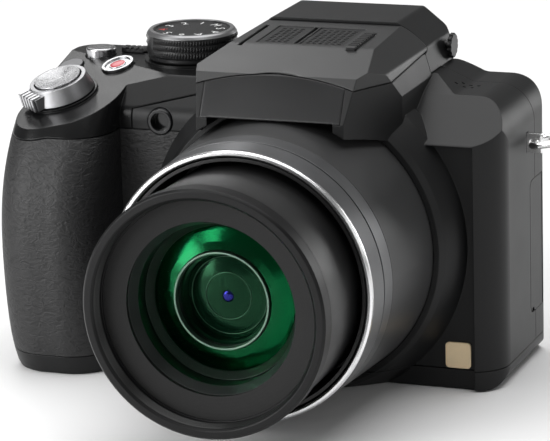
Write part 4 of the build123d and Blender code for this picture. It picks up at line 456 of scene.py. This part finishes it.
# The mode dial is a turned and knurled wheel with three rows of pyramids, a smooth skirt and a
# printed top. The knurl leaves one smooth place. It is held by its shaft through the top cover.
dial_centre = Vector((-0.0384, 0.0108, 0.0))
dial_foot = 0.0690
dial_steps = 96
knurl_low, knurl_high = 0.0013, 0.0060
knurl_relief = 0.00028
smooth_from, smooth_to = -160, -128
dial_section = ((0.0, 0.0), (0.0104, 0.0), (0.0106, 0.0003), (0.0106, 0.0011), (0.0108, 0.0013),
                (0.0108, 0.0030), (0.0108, 0.0045), (0.0108, 0.0060), (0.0104, 0.0065),
                (0.0101, 0.0069), (0.0090, 0.0069), (0.0088, 0.0066), (0.0, 0.0066))


def dial_turned(corners, closed):
    """A part of the dial, turned from its section's corners (radius, height over its foot)."""
    section = [(dial_centre.x + radius, dial_centre.y, dial_foot + height)
               for radius, height in corners]
    return turned(section, dial_centre, (0, 0, 1), dial_steps, closed)


dial = dial_turned(dial_section, closed=False)
knurl = []
for side in dial.faces:
    middle = side.calc_center_median()
    turn = math.degrees(math.atan2(middle.y - dial_centre.y, middle.x - dial_centre.x))
    if knurl_low < middle.z - dial_foot < knurl_high and not smooth_from < turn < smooth_to:
        knurl.append(side)
bmesh.ops.poke(dial, faces=knurl, offset=knurl_relief, center_mode="MEAN")
dial_piece = finish_piece(dial, "knurled_dial",
                          sprayed_plastic("dial_black", (0.013, 0.013, 0.0135), 0.26),
                          "mode_dial_body")
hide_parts("mode_dial")

# A bright ring of turned aluminium closes the dial's upper edge. It is bevelled outside and
# pressed on.
rim_section = ((0.01088, 0.00600), (0.01048, 0.00662), (0.01014, 0.00696), (0.00930, 0.00696),
               (0.00930, 0.00640), (0.01060, 0.00590))
finish_piece(dial_turned(rim_section, closed=True), "dial_rim",
             bright_metal("dial_rim_metal", (0.3, 0.3, 0.305), 0.28, metallic=0.9),
             "mode_dial_body")


# The dial's marks are pad-printed on its top: plain numbers and single letters in white ink, and
# one number in red.
def ink(name, dark, light, roughness):
    """Matt printing ink, a little uneven."""
    print_ink = Finish(name)
    uneven = print_ink.noise(print_ink.place(), 3000.0, 2.0)
    return print_ink.coat(Base_Color=print_ink.shades(uneven, dark, light), Roughness=roughness)


def printed(name, words, high, place, material, body):
    """A flat printed mark: text made a mesh and moved to its place."""
    text = bpy.data.curves.new(name, "FONT")
    text.body = words
    text.size = high
    text.align_x = "CENTER"
    text.align_y = "CENTER"
    holder = bpy.data.objects.new(name + "_text", text)
    bpy.context.scene.collection.objects.link(holder)
    bpy.context.view_layer.update()
    evaluated = holder.evaluated_get(bpy.context.evaluated_depsgraph_get())
    flat = bpy.data.meshes.new_from_object(evaluated)
    bpy.data.objects.remove(holder)
    mark = bmesh.new()
    mark.from_mesh(flat)
    bpy.data.meshes.remove(flat)
    bmesh.ops.transform(mark, matrix=place, verts=mark.verts[:])
    outward = place.to_3x3() @ Vector((0, 0, 1))
    for side in mark.faces:
        side.normal_update()
        if side.normal.dot(outward) < 0:
            side.normal_flip()
    finish_piece(mark, name, material, body)


mark_words = "123456APSM"
mark_red = 3
mark_high = 0.0032
mark_radius = 0.0068
mark_level = 0.00662
white_ink = ink("print_white", (0.7, 0.7, 0.7), (0.85, 0.85, 0.85), 0.5)
red_ink = ink("print_red", (0.5, 0.02, 0.02), (0.7, 0.05, 0.04), 0.4)
for index, words in enumerate(mark_words):
    turn = math.tau * index / len(mark_words)
    place = (Matrix.Translation((dial_centre.x, dial_centre.y, dial_foot + mark_level))
             @ Matrix.Rotation(turn, 4, "Z") @ Matrix.Translation((0, mark_radius, 0)))
    printed(f"dial_mark_{index}", words, mark_high, place,
            red_ink if index == mark_red else white_ink, "mode_dial_body")

# The shutter button is a disc of turned aluminium with a dished top, left bright. The lathe's
# grooves catch the light as a fan.
shutter_middle = (-0.0632, -0.0108, 0.0626)
groove_pitch = 0.00022
turned_metal = Finish("turned_aluminium")
turned_place = centred_place(turned_metal, shutter_middle)
turned_grooves = grooves(axis_radius(turned_metal, turned_place, (1, 1, 0.3)), groove_pitch)
turned_speck = turned_metal.noise(turned_place, 3000.0, 3.0)
dress(turned_metal.coat(
    Base_Color=turned_metal.shades(turned_speck, (0.46, 0.46, 0.47), (0.54, 0.54, 0.55)),
    Metallic=1.0,
    Roughness=0.24 + turned_speck * 0.08,
    Normal=turned_metal.relief(turned_grooves * 0.5 + turned_speck * 0.1, 0.7, 0.00004, 0.0003)),
    "shutter_button")

# The zoom lever turns round the shutter button, on a deck that slants to the front and the side. It
# is cast and plated, and its finger tab has five milled ribs over its top and front. A dark plate
# under the ribs fills their gaps with painted shade.
deck_turn = Matrix(((0.987688, -0.042594, 0.150524), (0.0, 0.962218, 0.272280),
                    (-0.156434, -0.268928, 0.950371))).transposed().to_4x4()
tab_turn = math.radians(-128)
lever_place = Matrix.Translation(shutter_middle) @ deck_turn @ Matrix.Rotation(tab_turn, 4, "Z")
rib_count = 5
rib_pitch = 0.00148


def rounded_blocks(places, sizes, round_edge):
    """Blocks on the lever's tab, with rounded edges."""
    blocks = bmesh.new()
    for place in places:
        bmesh.ops.create_cube(blocks, size=1, matrix=lever_place @ Matrix.Translation(place)
                              @ Matrix.Diagonal((*sizes, 1)))
    bmesh.ops.bevel(blocks, geom=blocks.edges[:], offset=round_edge, segments=2, affect="EDGES",
                    profile=0.5, material=-1)
    return blocks


dress(bright_metal("lever_metal", (0.42, 0.42, 0.43), 0.3), "zoom_lever")
# The dark plate under the ribs is painted shade in the gaps between them.
finish_piece(rounded_blocks([(0.00802, 0, 0.00243)], (0.00226, 0.0074, 0.00304), 0.0002),
             "lever_rib_shade_plate", bright_metal("rib_gap_painted_shade", (0.05, 0.05, 0.052), 0.4, metallic=0.6),
             "zoom_lever_body")
rib_places = [(0.00818, (index - (rib_count - 1) / 2) * rib_pitch, 0.0026)
              for index in range(rib_count)]
finish_piece(rounded_blocks(rib_places, (0.0026, 0.00084, 0.0034), 0.00016),
             "lever_ribs", bright_metal("rib_metal", (0.6, 0.6, 0.61), 0.26),
             "zoom_lever_body")

# The keys behind the shutter button are plated caps on springs. The movie key has a domed red
# centre, moulded and snapped in.
dress(bright_metal("button_dark", (0.12, 0.12, 0.125), 0.3, metallic=0.8), "focus_button")
dress(bright_metal("button_chrome", (0.5, 0.5, 0.51), 0.2), "record_button", "drive_button")
record_place = Matrix.Translation((-0.0542, 0.0020, 0.0677035)) @ deck_turn
dome_section = ((0.0, 0.00066), (0.0009, 0.00064), (0.0015, 0.00060), (0.0019, 0.00052),
                (0.0019, 0.00030), (0.0, 0.00030))
centre = turned([(radius, 0, height) for radius, height in dome_section], (0, 0, 0), (0, 0, 1), 64,
                closed=False)
bmesh.ops.transform(centre, matrix=record_place, verts=centre.verts[:])
finish_piece(centre, "record_centre",
             sprayed_plastic("record_red", (0.42, 0.035, 0.05), 0.22, depth=0.000003, gloss=0.5),
             "record_button_body")

# Small plastic controls: switch, wheels, keys and latch, and the grilles of the lid. They are
# moulded in black, left satin and snapped in.
dress(sprayed_plastic("key_black", (0.014, 0.014, 0.0145), 0.32),
      "power_switch", "rear_dial", "four_way_pad", "menu_button", "play_button",
      "display_button", "quick_button", "lock_button", "evf_button", "diopter_dial", "door_latch",
      "flash_release", "mic_grilles")

# The strap lugs are stamped steel, riveted in the covers' sides. The rings through them are bent
# from plated wire.
dress(bright_metal("ring_chrome", (0.85, 0.85, 0.85), 0.12),
      "strap_ring_left", "strap_ring_right", "strap_lugs")

# The badge by the lens is a small plate of gold-coloured metal, glued into its bed and left bare.
# Its paint is more matt than plating.
dress(bright_metal("badge_gold", (1.0, 0.8, 0.52), 0.45, metallic=0.35), "badge_plate")

# The focus lamp is a dark clear window in a polished black rim. It is pressed into the top of the
# front cover.
dress(bright_metal("lamp_rim", (0.012, 0.012, 0.013), 0.14, metallic=0.2), "af_lamp")

# The screen's window is a sheet of dark clear plastic, glued over its moulded panel. The same
# plain black plastic makes the viewfinder's tube and the blocks and boxes inside the covers.
screen = Finish("screen_window_dark")
smear = screen.noise(screen.place(), 40.0, 3.0)
dress(screen.coat(
    Base_Color=screen.shades(smear, (0.008, 0.008, 0.01), (0.014, 0.014, 0.017)),
    Roughness=0.06 + smear * 0.08,
    Coat_Weight=0.6), "screen_window")
dress(sprayed_plastic("screen_frame", (0.012, 0.012, 0.012), 0.5), "screen_panel",
      "viewfinder_tube", "speaker", "port_block", "battery_holder")

# The viewfinder ends in a soft moulded rubber cup, stretched over its tube, round a small coated
# eyepiece glass.
dress(sprayed_plastic("eyecup_black", (0.012, 0.012, 0.012), 0.65, 2500.0, 0.00003), "eyecup")
eye_glass = Finish("eyepiece_glass")
eye_dust = eye_glass.noise(eye_glass.place(), 900.0, 2.0)
dress(eye_glass.coat(
    Base_Color=eye_glass.shades(eye_dust, (0.01, 0.012, 0.014), (0.02, 0.024, 0.028)),
    Roughness=0.04 + eye_dust * 0.03,
    Coat_Weight=1.0), "eyepiece_lens")

# The sealed inside and the small hardware: pressed steel frame, green board, image chip, motor,
# screws, pin, tripod bush and the wrapped battery.
dress(bright_metal("plain_steel", (0.55, 0.55, 0.56), 0.35), "chassis_frame", "tripod_bush",
      "cover_screws", "flash_hinge_pin", "zoom_motor")
dress(sprayed_plastic("board_green", (0.03, 0.14, 0.06), 0.45), "main_board")
dress(sprayed_plastic("sensor_dark", (0.05, 0.04, 0.09), 0.25), "image_sensor")
dress(sprayed_plastic("battery_wrap", (0.06, 0.06, 0.065), 0.5), "battery")

# The flash under the lid is a moulded white housing with a ribbed clear window over its tube. It
# rides on the lid.
flash = Finish("flash_window")
window_rib_and_shade = flash.node("TexWave", {"bands_direction": "X"},
                        {"Vector": flash.place(), "Scale": 400.0})
# The window is painted lighter on its rib crests and darker in the troughs: painted shading.
dress(flash.coat(
    Base_Color=flash.shades(window_rib_and_shade, (0.6, 0.62, 0.65), (0.85, 0.86, 0.88), 0.2, 0.8),
    Roughness=0.18 + window_rib_and_shade * 0.1,
    Normal=flash.relief(window_rib_and_shade, 0.6, 0.0001)), "flash_unit")
